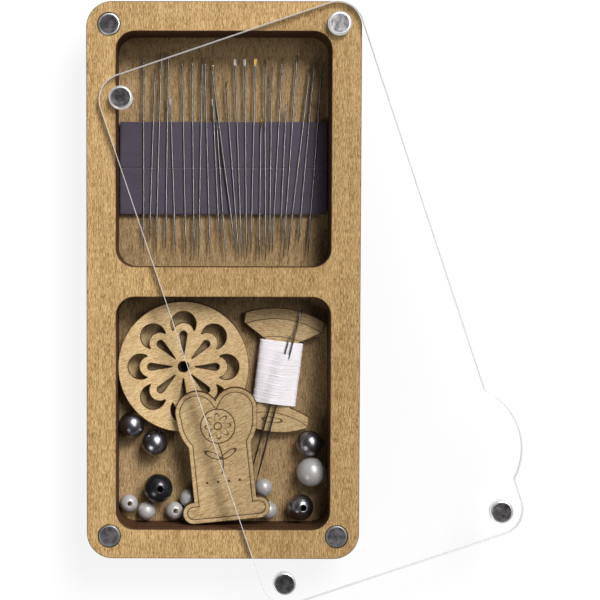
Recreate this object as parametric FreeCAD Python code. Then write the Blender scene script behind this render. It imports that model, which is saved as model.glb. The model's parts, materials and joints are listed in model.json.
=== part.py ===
"""Bobbin box: a plywood tray for sewing notions with a clear lid that swivels on a corner magnet.

Millimetres. The origin is the middle of the underside, X runs across the box, Y from front to rear, Z up.
The lid stands part-way open, turned about the rear right magnet.
"""
import FreeCAD, Part
import math
import os

# Driving dimensions of the box
PLY = 4.0
WALL = 8.0
DIVIDER = 8.2
OUTER_RADIUS = 7.0
INNER_RADIUS = 5.0
MAGNET_DIAMETER = 6.0
MAGNET_INSET = 6.1
GLUE_GAP = 0.05

# Driving dimensions of the lid
LID_THICKNESS = 2.0
LID_GAP = 0.1
LID_OPEN_ANGLE = 18.7
PIVOT_CLEARANCE = 0.05
TAB_WIDTH = 25.2
TAB_HEIGHT = 5.4
TAB_CENTRE = 26.0
TAB_FILLET = 1.5

# Driving dimensions of the needle strips and the needles on them
STRIP_WIDTH = 12.75
STRIP_THICKNESS = 1.5
STRIP_END_GAP = 0.4
STRIP_SEAM = 0.1
STRIP_SETBACK = 23.3
NEEDLE_DIAMETER = 0.55
NEEDLE_SIDES = 6
NEEDLE_TAPER = 7.0
NEEDLE_TIP_DIAMETER = 0.08
NEEDLE_HEAD_DIAMETER = 0.3
NEEDLE_HEAD_LENGTH = 0.2
EYE_LENGTH = 1.6
EYE_WIDTH = 0.2
EYE_SETBACK = 0.7
NEEDLE_LEFT_MARGIN = 6.5
NEEDLE_RIGHT_MARGIN = 3.5
SEAT_GAP = 0.02

# One row per needle from left to right: sideways nudge from even spacing, lean in degrees,
# space left to the rear wall and to the divider, and how far the eye is lifted over a neighbour
NEEDLES = (
    (0.0, 0.0, 5.5, 3.3, 0.0),
    (0.3, 1.9, 8.8, 6.3, 0.0),
    (0.1, 1.5, 4.5, 3.1, 0.0),
    (0.5, 0.8, 4.5, 4.5, 0.0),
    (0.2, -2.0, 16.7, 2.9, 0.0),
    (1.4, -1.1, 6.1, 1.8, 0.0),
    (1.9, -0.7, 5.7, 1.8, 0.0),
    (1.9, 1.0, 5.7, 2.2, 0.0),
    (2.0, -1.6, 5.9, 1.7, 0.0),
    (2.3, -2.8, 16.9, 5.9, 0.0),
    (1.4, -3.9, 5.9, 1.5, 0.0),
    (0.8, -7.6, 8.2, 4.2, 1.1),
    (0.9, -4.4, 12.4, 2.3, 0.0),
    (0.7, -2.1, 6.1, 1.7, 0.0),
    (0.7, -0.7, 6.0, 2.0, 0.0),
    (0.7, 1.2, 5.9, 2.9, 0.0),
    (0.8, 0.6, 22.9, 0.7, 0.0),
    (0.2, -0.4, 6.3, 1.1, 0.0),
    (-0.3, 0.6, 8.3, 4.0, 0.0),
    (-0.6, 2.9, 5.8, 2.7, 0.0),
    (-0.7, 2.4, 18.6, 6.5, 0.0),
    (-1.0, 3.7, 5.1, 1.8, 0.0),
    (-0.6, 6.6, 8.5, 2.7, 0.0),
    (-0.6, 4.9, 6.8, 5.0, 0.0),
    (0.0, 4.2, 6.8, 2.0, 0.0),
)

# Driving dimensions of the round bobbin
BOBBIN_DIAMETER = 36.0
BOBBIN_FLANGE = 2.0
BOBBIN_CORE_HEIGHT = 2.0
BOBBIN_CORE_DIAMETER = 21.0
BOBBIN_HOLE = 3.0
BOBBIN_SIDE_GAP = 0.1
BOBBIN_REAR_GAP = 1.4
ROSETTE_COUNT = 8
ROSETTE_RIM = 2.7
CRESCENT_RADIUS = 3.5
CRESCENT_BITE_RADIUS = 2.95
CRESCENT_BITE_OFFSET = 2.6
PETAL_BRIDGE = 2.25
PETAL_LENGTH = 7.2
PETAL_WIDTH = 2.0

# Driving dimensions of the spool-shaped card and its thread
CARD_PLY = 2.5
SPOOL_TOP_WIDTH = 22.0
SPOOL_FOOT_WIDTH = 20.2
SPOOL_WAIST_WIDTH = 9.4
SPOOL_WAIST_LENGTH = 17.8
SPOOL_TAPER = 3.7
SPOOL_TOP_EDGE = 2.9
SPOOL_FOOT_EDGE = 2.9
SPOOL_CROWN = 2.4
SPOOL_TURN = -7.0
SPOOL_SIDE_GAP = 2.8
SPOOL_REAR_GAP = 3.3
SPOOL_BOBBIN_GAP = 2.02
STRAND_DIAMETER = 0.5
STRAND_SIDES = 4
STRAND_TURNS = 11
THREAD_SIDE_BUILD = 0.73
THREAD_FACE_BUILD = 0.3
THREAD_SEAT = 0.15
THREAD_END_MARGIN = 0.1

# The two needles held on the thread, in the spool's own axes: eye end, then point
SPOOL_NEEDLES = (
    ((4.2, 18.6), (-2.3, -31.2)),
    ((1.9, 10.6), (-4.0, -28.3)),
)

# Driving dimensions of the lobed thread card
CARD_HEAD_WIDTH = 22.0
CARD_BODY_WIDTH = 17.2
CARD_FOOT_WIDTH = 24.0
CARD_FOOT_HEIGHT = 6.0
CARD_BODY_LENGTH = 15.4
CARD_HEAD_HEIGHT = 15.2
CARD_NOTCH = 3.0
CARD_LOBE_CENTRE = 6.2
CARD_CHEEK_BULGE = 0.7
CARD_TURN = 6.0
CARD_FRONT_GAP = 1.5
CARD_OFFSET = 10.3

# Driving dimensions of the beads
GUNMETAL_DIAMETER = 7.2
LARGE_BEAD_DIAMETER = 8.0
SMALL_PEARL_DIAMETER = 5.0
LARGE_BORE = 1.7
SMALL_BORE = 1.4
LARGE_BEAD_SIDES = 12
SMALL_BEAD_SIDES = 10
BEAD_GAP = 0.3
BEAD_ROW_ROOM = 3.0
WHITE_PEARL_GAP = 3.3

# Beads set out from the walls: side of the compartment, space to the side wall and to the front wall
ON_LEFT = -1
ON_RIGHT = 1
BEADS_BY_WALLS = {
    "black_bead": (ON_LEFT, 7.1, 5.8),
    "white_pearl": (ON_RIGHT, 0.5, GUNMETAL_DIAMETER + WHITE_PEARL_GAP),
    "gunmetal_bead_4": (ON_RIGHT, 3.8, 1.0),
    "small_pearl_1": (ON_LEFT, 0.4, 2.8),
    "small_pearl_3": (ON_LEFT, 13.1, 0.8),
    "small_pearl_6": (ON_RIGHT, 13.8, 1.0),
}

# Beads that lie against another bead: that bead, the gap between them, bearing in degrees from +X
BEADS_BY_BEADS = {
    "gunmetal_bead_3": ("white_pearl", BEAD_GAP, 94.0),
    "small_pearl_2": ("small_pearl_1", BEAD_GAP, -23.0),
    "small_pearl_4": ("small_pearl_3", BEAD_GAP, 42.0),
    "small_pearl_5": ("small_pearl_6", 1.5, 102.0),
}

# Bearings of the bores that lie level; the other bores stand upright
BORE_BEARINGS = {
    "gunmetal_bead_1": 20.0, "gunmetal_bead_2": 70.0, "gunmetal_bead_3": 225.0, "white_pearl": 15.0,
    "small_pearl_2": 110.0, "small_pearl_4": 40.0, "small_pearl_5": 160.0, "small_pearl_6": 75.0,
}

# Both compartments have the size that the bobbin, the spool card and the beads of the front one need
THREAD_HALF_WIDTH = SPOOL_WAIST_WIDTH / 2 + THREAD_SIDE_BUILD + THREAD_SEAT + STRAND_DIAMETER
SPOOL_LENGTH = SPOOL_WAIST_LENGTH + SPOOL_TAPER + SPOOL_TOP_EDGE + SPOOL_FOOT_EDGE + 3 * SPOOL_CROWN
BOBBIN_WIDTH_SHARE = BOBBIN_SIDE_GAP + BOBBIN_DIAMETER + SPOOL_BOBBIN_GAP
SPOOL_WIDTH_SHARE = THREAD_HALF_WIDTH + SPOOL_TOP_WIDTH / 2 + SPOOL_SIDE_GAP
SPOOL_ROW = SPOOL_REAR_GAP + SPOOL_LENGTH + LARGE_BEAD_DIAMETER + 2 * GUNMETAL_DIAMETER + BEAD_ROW_ROOM
BOBBIN_ROW = BOBBIN_REAR_GAP + BOBBIN_DIAMETER + GUNMETAL_DIAMETER + LARGE_BEAD_DIAMETER
BOBBIN_ROW += BEADS_BY_WALLS["black_bead"][2] + BEAD_ROW_ROOM
COMPARTMENT_WIDTH = BOBBIN_WIDTH_SHARE + SPOOL_WIDTH_SHARE
COMPARTMENT_LENGTH = max(SPOOL_ROW, BOBBIN_ROW)

# Sizes that follow from the ones above
BOX_WIDTH = COMPARTMENT_WIDTH + 2 * WALL
BOX_LENGTH = 2 * COMPARTMENT_LENGTH + DIVIDER + 2 * WALL
FLOOR = PLY
TOP = 4 * PLY
LEFT = -COMPARTMENT_WIDTH / 2
RIGHT = COMPARTMENT_WIDTH / 2
UPPER_FRONT = DIVIDER / 2
UPPER_REAR = DIVIDER / 2 + COMPARTMENT_LENGTH
LOWER_REAR = -UPPER_FRONT
LOWER_FRONT = -UPPER_REAR
MAGNET_X = BOX_WIDTH / 2 - MAGNET_INSET
MAGNET_Y = BOX_LENGTH / 2 - MAGNET_INSET
LID_UNDERSIDE = TOP + LID_GAP

Vector = FreeCAD.Vector
UP = Vector(0, 0, 1)
TOUCHING = 0.01


def rounded_rectangle(left, front, right, rear, radius):
    """Flat face whose four corners have one radius."""
    corners = (
        (right - radius, rear - radius, 0),
        (left + radius, rear - radius, 90),
        (left + radius, front + radius, 180),
        (right - radius, front + radius, 270),
    )
    bends = [Part.makeCircle(radius, Vector(x, y, 0), UP, start, start + 90) for x, y, start in corners]
    edges = []
    for bend, following in zip(bends, bends[1:] + bends[:1]):
        edges.append(bend)
        end = bend.valueAt(bend.LastParameter)
        edges.append(Part.makeLine(end, following.valueAt(following.FirstParameter)))
    return Part.Face(Part.Wire(edges))


def prism(face, bottom, height):
    """Solid of a flat face raised to a height above a level."""
    solid = face.extrude(Vector(0, 0, height))
    solid.translate(Vector(0, 0, bottom))
    return solid


def arc(start, middle, end):
    """Arc edge through three points in the XY plane."""
    points = [Vector(x, y, 0) for x, y in (start, middle, end)]
    return Part.Arc(*points).toShape()


def line(start, end):
    """Straight edge between two points in the XY plane."""
    return Part.makeLine(Vector(start[0], start[1], 0), Vector(end[0], end[1], 0))


def face_from(edges):
    """Flat face inside a closed run of edges, given in any order."""
    return Part.Face(Part.Wire(Part.__sortEdges__(edges)))


def mirrored(edges):
    """The edges and their mirror images across the YZ plane."""
    return edges + [edge.mirror(Vector(0, 0, 0), Vector(1, 0, 0)) for edge in edges]


def flat_sided(rings, sides, bored):
    """Turned solid with flat sides: rings of (radius, level) about Z, each joined to the next by facets.

    A bored solid's last ring is joined to its first one; the other kind is closed by flat ends.
    """
    loops = []
    for radius, level in rings:
        turns = [2 * math.pi * index / sides for index in range(sides)]
        loops.append([Vector(radius * math.cos(turn), radius * math.sin(turn), level) for turn in turns])
    faces = []
    for low, high in zip(loops, loops[1:] + loops[:1] if bored else loops[1:]):
        for index in range(sides):
            corners = [low[index - 1], low[index], high[index], high[index - 1]]
            faces.append(Part.Face(Part.makePolygon(corners + corners[:1])))
    if not bored:
        faces += [Part.Face(Part.makePolygon(loop + loop[:1])) for loop in (loops[0], loops[-1])]
    shell = Part.Shell(faces)
    shell.sewShape()
    solid = Part.Solid(shell)
    if solid.Volume < 0:
        solid.reverse()
    return solid


# Plywood box


def outline():
    """Outer outline of the box, which the lid shares."""
    half_width = BOX_WIDTH / 2
    half_length = BOX_LENGTH / 2
    return rounded_rectangle(-half_width, -half_length, half_width, half_length, OUTER_RADIUS)


def frame_face():
    """Plywood ring with a window over each compartment."""
    upper = rounded_rectangle(LEFT, UPPER_FRONT, RIGHT, UPPER_REAR, INNER_RADIUS)
    lower = rounded_rectangle(LEFT, LOWER_FRONT, RIGHT, LOWER_REAR, INNER_RADIUS)
    return outline().cut(upper).cut(lower).Faces[0]


def magnet_places():
    """Name and centre of each corner magnet, in the closed position."""
    return {
        "rear_left": (-MAGNET_X, MAGNET_Y),
        "rear_right": (MAGNET_X, MAGNET_Y),
        "front_left": (-MAGNET_X, -MAGNET_Y),
        "front_right": (MAGNET_X, -MAGNET_Y),
    }


def hole(place, radius, bottom, height):
    """Upright cylinder used to cut a magnet's hole."""
    return Part.makeCylinder(radius, height, Vector(place[0], place[1], bottom), UP)


def magnet(place, bottom, height):
    """Disc magnet."""
    return hole(place, MAGNET_DIAMETER / 2, bottom, height)


def box_pieces():
    """Base panel, three frames and the four box magnets."""
    pieces = {"base_panel": prism(outline(), 0, PLY)}
    for layer, name in enumerate(("lower_frame", "middle_frame", "top_frame"), start=1):
        pieces[name] = prism(frame_face(), layer * PLY, PLY)
    for name, place in magnet_places().items():
        seat = hole(place, MAGNET_DIAMETER / 2 + GLUE_GAP, TOP - PLY, PLY)
        pieces["top_frame"] = pieces["top_frame"].cut(seat)
        pieces["box_magnet_" + name] = magnet(place, TOP - PLY, PLY)
    return pieces


# Clear lid


def tab_face():
    """Round thumb tab on the lid's right edge: a segment of a circle of the tab's width and height."""
    half = TAB_WIDTH / 2
    edge = BOX_WIDTH / 2
    middle = TAB_CENTRE - BOX_LENGTH / 2
    bulge = arc((edge, middle - half), (edge + TAB_HEIGHT, middle), (edge, middle + half))
    return face_from([bulge, line((edge, middle - half), (edge, middle + half))])


def lid_panel():
    """Closed lid plate with its tab; the two inner corners beside the tab are rounded."""
    plate = prism(outline(), LID_UNDERSIDE, LID_THICKNESS)
    plate = plate.fuse(prism(tab_face(), LID_UNDERSIDE, LID_THICKNESS)).removeSplitter()
    corners = []
    for edge in plate.Edges:
        across = edge.BoundBox
        upright = across.XLength < TOUCHING and across.YLength < TOUCHING
        offset = abs(across.YMin - (TAB_CENTRE - BOX_LENGTH / 2))
        if upright and abs(offset - TAB_WIDTH / 2) < TOUCHING and across.XMin > 0:
            corners.append(edge)
    plate = plate.makeFillet(TAB_FILLET, corners)
    for name, place in magnet_places().items():
        gap = PIVOT_CLEARANCE if name == "rear_right" else GLUE_GAP
        plate = plate.cut(hole(place, MAGNET_DIAMETER / 2 + gap, LID_UNDERSIDE, LID_THICKNESS))
    return plate


def lid_pieces():
    """Lid plate and its magnets, swung open about the rear right magnet."""
    pieces = {"lid_panel": lid_panel()}
    for name, place in magnet_places().items():
        node = "lid_pivot_magnet" if name == "rear_right" else "lid_magnet_" + name
        pieces[node] = magnet(place, LID_UNDERSIDE, LID_THICKNESS)
    for shape in pieces.values():
        shape.rotate(Vector(MAGNET_X, MAGNET_Y, 0), UP, LID_OPEN_ANGLE)
    return pieces


# Needle strips and needles


def needle(eye_end, point):
    """Sewing needle between two points: narrowed head, slotted eye, straight shaft and tapered point."""
    length = eye_end.distanceToPoint(point)
    radius = NEEDLE_DIAMETER / 2
    rings = [
        (NEEDLE_HEAD_DIAMETER / 2, 0),
        (radius, NEEDLE_HEAD_LENGTH),
        (radius, length - NEEDLE_TAPER),
        (NEEDLE_TIP_DIAMETER / 2, length),
    ]
    body = flat_sided(rings, NEEDLE_SIDES, False)
    slot = Part.makeBox(NEEDLE_DIAMETER * 2, EYE_WIDTH, EYE_LENGTH)
    slot.translate(Vector(-NEEDLE_DIAMETER, -EYE_WIDTH / 2, EYE_SETBACK))
    slot.rotate(Vector(0, 0, 0), UP, 180 / NEEDLE_SIDES)
    body = body.cut(slot)
    body.Placement = FreeCAD.Placement(eye_end, FreeCAD.Rotation(UP, point - eye_end))
    return body


def strip_pieces():
    """Two magnetic strips side by side across the upper compartment."""
    pieces = {}
    rear = UPPER_REAR - STRIP_SETBACK
    length = COMPARTMENT_WIDTH - 2 * STRIP_END_GAP
    for name in ("needle_strip_rear", "needle_strip_front"):
        rear -= STRIP_WIDTH
        pieces[name] = Part.makeBox(length, STRIP_WIDTH, STRIP_THICKNESS, Vector(-length / 2, rear, FLOOR))
        rear -= STRIP_SEAM
    return pieces


def needle_row():
    """The needles on the strips, spread evenly and then nudged and leaned one by one."""
    seam = UPPER_REAR - STRIP_SETBACK - STRIP_WIDTH - STRIP_SEAM / 2
    level = FLOOR + STRIP_THICKNESS + SEAT_GAP + NEEDLE_DIAMETER / 2
    first = LEFT + STRIP_END_GAP + NEEDLE_LEFT_MARGIN
    last = RIGHT - STRIP_END_GAP - NEEDLE_RIGHT_MARGIN
    step = (last - first) / (len(NEEDLES) - 1)
    needles = []
    for index, (nudge, lean, rear_gap, front_gap, lift) in enumerate(NEEDLES):
        middle = first + index * step + nudge
        slope = math.tan(math.radians(lean))
        rear = UPPER_REAR - rear_gap
        front = UPPER_FRONT + front_gap
        eye_end = Vector(middle + (rear - seam) * slope, rear, level + lift)
        point = Vector(middle + (front - seam) * slope, front, level)
        needles.append(needle(eye_end, point))
    return Part.makeCompound(needles)


# Round bobbin


def bobbin_place():
    """Centre of the bobbin, in the rear left corner of the lower compartment."""
    radius = BOBBIN_DIAMETER / 2
    return LEFT + radius + BOBBIN_SIDE_GAP, LOWER_REAR - radius - BOBBIN_REAR_GAP


def rosette():
    """Cut-outs of the pierced flange: a ring of teardrop petals with a crescent beyond each one."""
    crescent_centre = BOBBIN_DIAMETER / 2 - ROSETTE_RIM - CRESCENT_RADIUS
    bite_centre = crescent_centre - CRESCENT_BITE_OFFSET
    disc = Part.makeCylinder(CRESCENT_RADIUS, BOBBIN_FLANGE, Vector(0, crescent_centre, 0))
    bite = Part.makeCylinder(CRESCENT_BITE_RADIUS, BOBBIN_FLANGE, Vector(0, bite_centre, 0))
    crescent = disc.cut(bite)
    round_radius = PETAL_WIDTH / 2
    petal_end = bite_centre + CRESCENT_BITE_RADIUS - PETAL_BRIDGE
    petal_point = petal_end - PETAL_LENGTH
    round_centre = petal_end - round_radius
    reach = round_centre - petal_point
    side = round_radius * math.sqrt(reach ** 2 - round_radius ** 2) / reach
    touch = round_centre - round_radius ** 2 / reach
    petal = face_from([
        line((0, petal_point), (side, touch)),
        arc((side, touch), (0, petal_end), (-side, touch)),
        line((-side, touch), (0, petal_point)),
    ])
    cuts = []
    for index in range(ROSETTE_COUNT):
        for form in (crescent, prism(petal, 0, BOBBIN_FLANGE)):
            form.rotate(Vector(0, 0, 0), UP, index * 360 / ROSETTE_COUNT)
            cuts.append(form.copy())
            form.rotate(Vector(0, 0, 0), UP, -index * 360 / ROSETTE_COUNT)
    return cuts


def bobbin_pieces():
    """Plain bottom flange, core and pierced top flange, glued in a stack."""
    radius = BOBBIN_DIAMETER / 2
    bottom = Part.makeCylinder(radius, BOBBIN_FLANGE)
    core = Part.makeCylinder(BOBBIN_CORE_DIAMETER / 2, BOBBIN_CORE_HEIGHT)
    core = core.cut(Part.makeCylinder(BOBBIN_HOLE / 2, BOBBIN_CORE_HEIGHT))
    core.translate(Vector(0, 0, BOBBIN_FLANGE))
    top = Part.makeCylinder(radius, BOBBIN_FLANGE)
    top = top.cut(Part.makeCylinder(BOBBIN_HOLE / 2, BOBBIN_FLANGE))
    for form in rosette():
        top = top.cut(form)
    top.translate(Vector(0, 0, BOBBIN_FLANGE + BOBBIN_CORE_HEIGHT))
    pieces = {"bobbin_bottom_flange": bottom, "bobbin_core": core, "bobbin_top_flange": top}
    x, y = bobbin_place()
    for shape in pieces.values():
        shape.translate(Vector(x, y, FLOOR))
    return pieces


def bobbin_top():
    """Level of the bobbin's upper face."""
    return FLOOR + 2 * BOBBIN_FLANGE + BOBBIN_CORE_HEIGHT


# Spool-shaped card with its thread, in axes of its own: Y along the spool, Z through its thickness


def flange_face(width, low_sides, high_sides, low_crown, high_crown):
    """Flange seen from the side: straight ends, lower and upper edges bowed by their crowns."""
    half = width / 2
    edges = [line((half, low_sides), (half, high_sides)), line((-half, low_sides), (-half, high_sides))]
    for level, crown in ((low_sides, low_crown), (high_sides, high_crown)):
        if crown:
            edges.append(arc((-half, level), (0, level + crown), (half, level)))
        else:
            edges.append(line((-half, level), (half, level)))
    return face_from(edges)


def spool_heights():
    """Levels along the spool: foot sides, waist ends, head sides."""
    waist = SPOOL_WAIST_LENGTH / 2
    foot_high = -waist - SPOOL_CROWN
    head_low = waist + SPOOL_TAPER
    return {
        "foot_low": foot_high - SPOOL_FOOT_EDGE,
        "foot_high": foot_high,
        "waist": waist,
        "head_low": head_low,
        "head_high": head_low + SPOOL_TOP_EDGE,
    }


def spool_card():
    """Plywood card cut to the outline of a thread spool."""
    level = spool_heights()
    head = flange_face(SPOOL_TOP_WIDTH, level["head_low"], level["head_high"], 0, SPOOL_CROWN)
    foot = flange_face(SPOOL_FOOT_WIDTH, level["foot_low"], level["foot_high"], -SPOOL_CROWN, SPOOL_CROWN)
    half_head = SPOOL_TOP_WIDTH / 2
    half_waist = SPOOL_WAIST_WIDTH / 2
    taper = Part.Face(Part.makePolygon([
        Vector(-half_head, level["head_low"], 0),
        Vector(-half_waist, level["waist"], 0),
        Vector(-half_waist, level["foot_high"], 0),
        Vector(half_waist, level["foot_high"], 0),
        Vector(half_waist, level["waist"], 0),
        Vector(half_head, level["head_low"], 0),
        Vector(-half_head, level["head_low"], 0),
    ]))
    card = prism(taper, -CARD_PLY / 2, CARD_PLY)
    for face in (head, foot):
        card = card.fuse(prism(face, -CARD_PLY / 2, CARD_PLY))
    return card.removeSplitter()


def biarc(start, start_way, end, end_way):
    """Two arcs that leave a point one way, arrive at another point another way and meet smoothly."""
    across = end - start
    ways = start_way + end_way
    square = 2 * (start_way.dot(end_way) - 1)
    linear = -2 * across.dot(ways)
    reach = (-linear - math.sqrt(linear ** 2 - 4 * square * across.dot(across))) / (2 * square)
    middle = (start + start_way * reach + end - end_way * reach) * 0.5
    return [half_arc(start, middle, start_way), half_arc(end, middle, end_way * -1)]


def half_arc(foot, far, way):
    """Arc from a point that leaves it along a given way and passes through a second point."""
    chord = far - foot
    along = Vector(chord).normalize()
    side = way - along * way.dot(along)
    bulge = math.atan2(side.Length, way.dot(along)) / 2
    height = chord.Length / 2 * math.tan(bulge)
    return Part.Arc(foot, foot + chord * 0.5 + side.normalize() * height, far).toShape()


def winding_points(half_width, half_height, turns, rise, start):
    """Quarter points of a flat winding about Y with the direction of travel at each one."""
    perimeter = 2 * math.pi * math.sqrt((half_width ** 2 + half_height ** 2) / 2)
    points = []
    for quarter in range(4 * turns + 1):
        angle = quarter * math.pi / 2
        across = math.cos(angle)
        height = math.sin(angle)
        point = Vector(half_width * across, start + quarter * rise / 4, half_height * height)
        way = Vector(-height, rise / perimeter, across).normalize()
        points.append((point, way))
    return points


def thread_half_sizes():
    """Half width and half height of the inner thread, and of the outer layer's centre line."""
    inner = (SPOOL_WAIST_WIDTH / 2 + THREAD_SIDE_BUILD, CARD_PLY / 2 + THREAD_FACE_BUILD)
    step = THREAD_SEAT + STRAND_DIAMETER / 2
    return inner, (inner[0] + step, inner[1] + step)


def thread_core(card):
    """Inner thread: an oval block round the waist."""
    (half_width, half_height), _ = thread_half_sizes()
    points = winding_points(half_width, half_height, 1, 0, -SPOOL_WAIST_LENGTH / 2)
    edges = []
    for (start, start_way), (end, end_way) in zip(points, points[1:]):
        edges += biarc(start, start_way, end, end_way)
    oval = Part.Face(Part.Wire(Part.__sortEdges__(edges)))
    return oval.extrude(Vector(0, SPOOL_WAIST_LENGTH, 0)).cut(card)


def regular_corners(centre, way, radius, sides):
    """Closed run of corners of a regular polygon round a point, square to a way."""
    out = Vector(1, 0, 0) * radius
    side = way.cross(Vector(1, 0, 0)).normalize() * radius
    turns = [2 * math.pi * (index + 0.5) / sides for index in range(sides + 1)]
    return [centre + out * math.cos(turn) + side * math.sin(turn) for turn in turns]


def thread_winding():
    """Outer thread: one unbroken strand wound round the inner thread, with a straight end at each side."""
    _, (half_width, half_height) = thread_half_sizes()
    span = SPOOL_WAIST_LENGTH - STRAND_DIAMETER - 2 * THREAD_END_MARGIN
    rise = span / STRAND_TURNS
    points = winding_points(half_width, half_height, STRAND_TURNS, rise, -span / 2)
    first, first_way = points[0]
    last, last_way = points[-1]
    lead = first - first_way * STRAND_DIAMETER
    tail = last + last_way * STRAND_DIAMETER
    edges = [Part.makeLine(lead, first)]
    for (start, start_way), (end, end_way) in zip(points, points[1:]):
        edges += biarc(start, start_way, end, end_way)
    edges.append(Part.makeLine(last, tail))
    path = Part.Wire(Part.__sortEdges__(edges))
    section = Part.makePolygon(regular_corners(lead, first_way, STRAND_DIAMETER / 2, STRAND_SIDES))
    report_winding(path, rise)
    return path.makePipeShell([section], True, False)


def report_winding(path, rise):
    """Print the least gap between neighbouring turns of the winding, measured on points along it."""
    per_turn = 48
    points = path.discretize(Number=per_turn * STRAND_TURNS)
    least = rise
    for index, point in enumerate(points):
        for other in points[index + per_turn // 2:index + 2 * per_turn]:
            least = min(least, point.distanceToPoint(other))
    print("thread winding: least gap between turns %.2f mm" % (least - STRAND_DIAMETER))


def spool_needle_ends():
    """Eye end and point of each needle, lying on the outer layer of the thread."""
    _, (_, half_height) = thread_half_sizes()
    level = half_height + STRAND_DIAMETER / 2 + SEAT_GAP + NEEDLE_DIAMETER / 2
    return [(Vector(*eye_end, level), Vector(*point, level)) for eye_end, point in SPOOL_NEEDLES]


def spool_level():
    """Level of the card's middle plane when the thread rests on the floor."""
    _, (_, half_height) = thread_half_sizes()
    return FLOOR + SEAT_GAP + half_height + STRAND_DIAMETER / 2


def spool_pieces():
    """Spool card, its thread and the needles held on it, set down in the rear right corner."""
    card = spool_card()
    pieces = {
        "spool_card": card,
        "spool_thread_core": thread_core(card),
        "spool_thread": thread_winding(),
        "spool_needles": Part.makeCompound([needle(*ends) for ends in spool_needle_ends()]),
    }
    head = spool_heights()["head_high"] + SPOOL_CROWN
    x = RIGHT - SPOOL_SIDE_GAP - SPOOL_TOP_WIDTH / 2
    y = LOWER_REAR - SPOOL_REAR_GAP - head
    for shape in pieces.values():
        shape.rotate(Vector(0, 0, 0), UP, SPOOL_TURN)
        shape.translate(Vector(x, y, spool_level()))
    return pieces


# Lobed thread card


def thread_card(places):
    """Thread card with a two-lobed head, straight body and round-ended foot, lying on bobbin and pearls."""
    half_head = CARD_HEAD_WIDTH / 2
    half_body = CARD_BODY_WIDTH / 2
    end_radius = CARD_FOOT_HEIGHT / 2
    foot_flat = CARD_FOOT_WIDTH / 2 - end_radius
    foot_top = CARD_FOOT_HEIGHT
    body_top = foot_top + CARD_BODY_LENGTH
    crown = body_top + CARD_HEAD_HEIGHT
    cheek = body_top + CARD_HEAD_HEIGHT / 2
    shoulder = ((half_head + half_body) / 2 + CARD_CHEEK_BULGE, (cheek + body_top) / 2)
    edges = mirrored([
        arc((0, crown - CARD_NOTCH), (CARD_LOBE_CENTRE, crown), (half_head, cheek)),
        arc((half_head, cheek), shoulder, (half_body, body_top)),
        line((half_body, body_top), (half_body, foot_top)),
        line((half_body, foot_top), (foot_flat, foot_top)),
        arc((foot_flat, foot_top), (foot_flat + end_radius, end_radius), (foot_flat, 0)),
        line((foot_flat, 0), (0, 0)),
    ])
    card = prism(face_from(edges), 0, CARD_PLY)
    bobbin_x, bobbin_y = bobbin_place()
    rear_rest = bobbin_y - BOBBIN_DIAMETER / 2
    front_rest = places["small_pearl_6"][1]
    drop = bobbin_top() - (FLOOR + SEAT_GAP + SMALL_PEARL_DIAMETER)
    tilt = math.atan2(drop, rear_rest - front_rest)
    foot_y = LOWER_FRONT + CARD_FRONT_GAP
    foot_level = bobbin_top() + SEAT_GAP - (rear_rest - foot_y) * math.tan(tilt)
    card.rotate(Vector(0, 0, 0), UP, CARD_TURN)
    card.rotate(Vector(0, 0, 0), Vector(1, 0, 0), math.degrees(tilt))
    lean = math.tan(math.radians(CARD_TURN))
    card.translate(Vector(bobbin_x + CARD_OFFSET + lean * crown / 2, foot_y, foot_level))
    return card


# Beads


def beside(first, first_distance, second, second_distance):
    """Point at given distances from two points, on the left of the way from the first to the second."""
    along = Vector(second[0] - first[0], second[1] - first[1], 0)
    span = along.Length
    run = (first_distance ** 2 - second_distance ** 2 + span ** 2) / (2 * span)
    rise = math.sqrt(first_distance ** 2 - run ** 2)
    along.normalize()
    return first[0] + along.x * run - along.y * rise, first[1] + along.y * run + along.x * rise


def aside(place, distance, bearing):
    """Point at a distance and a bearing, in degrees from +X, from another point."""
    angle = math.radians(bearing)
    return place[0] + distance * math.cos(angle), place[1] + distance * math.sin(angle)


def bead_size(name):
    """Diameter, bore and number of flat sides of a bead."""
    if name.startswith("small"):
        return SMALL_PEARL_DIAMETER, SMALL_BORE, SMALL_BEAD_SIDES
    if name.startswith("gunmetal"):
        return GUNMETAL_DIAMETER, LARGE_BORE, LARGE_BEAD_SIDES
    return LARGE_BEAD_DIAMETER, LARGE_BORE, LARGE_BEAD_SIDES


def bead_places():
    """Centre of each bead on the floor of the front compartment."""
    places = {}
    for name, (side, side_gap, front_gap) in BEADS_BY_WALLS.items():
        radius = bead_size(name)[0] / 2
        places[name] = (side * (RIGHT - side_gap - radius), LOWER_FRONT + front_gap + radius)
    for name, (neighbour, gap, bearing) in BEADS_BY_BEADS.items():
        distance = (bead_size(name)[0] + bead_size(neighbour)[0]) / 2 + gap
        places[name] = aside(places[neighbour], distance, bearing)
    bobbin = bobbin_place()
    rim = (BOBBIN_DIAMETER + GUNMETAL_DIAMETER) / 2
    by_wall = LEFT + GUNMETAL_DIAMETER / 2 + BOBBIN_SIDE_GAP
    drop = math.sqrt((rim + BEAD_GAP) ** 2 - (bobbin[0] - by_wall) ** 2)
    first = (by_wall, bobbin[1] - drop)
    places["gunmetal_bead_1"] = first
    places["gunmetal_bead_2"] = beside(bobbin, rim + 4 * BEAD_GAP, first, GUNMETAL_DIAMETER + 3 * BEAD_GAP)
    return places


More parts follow.
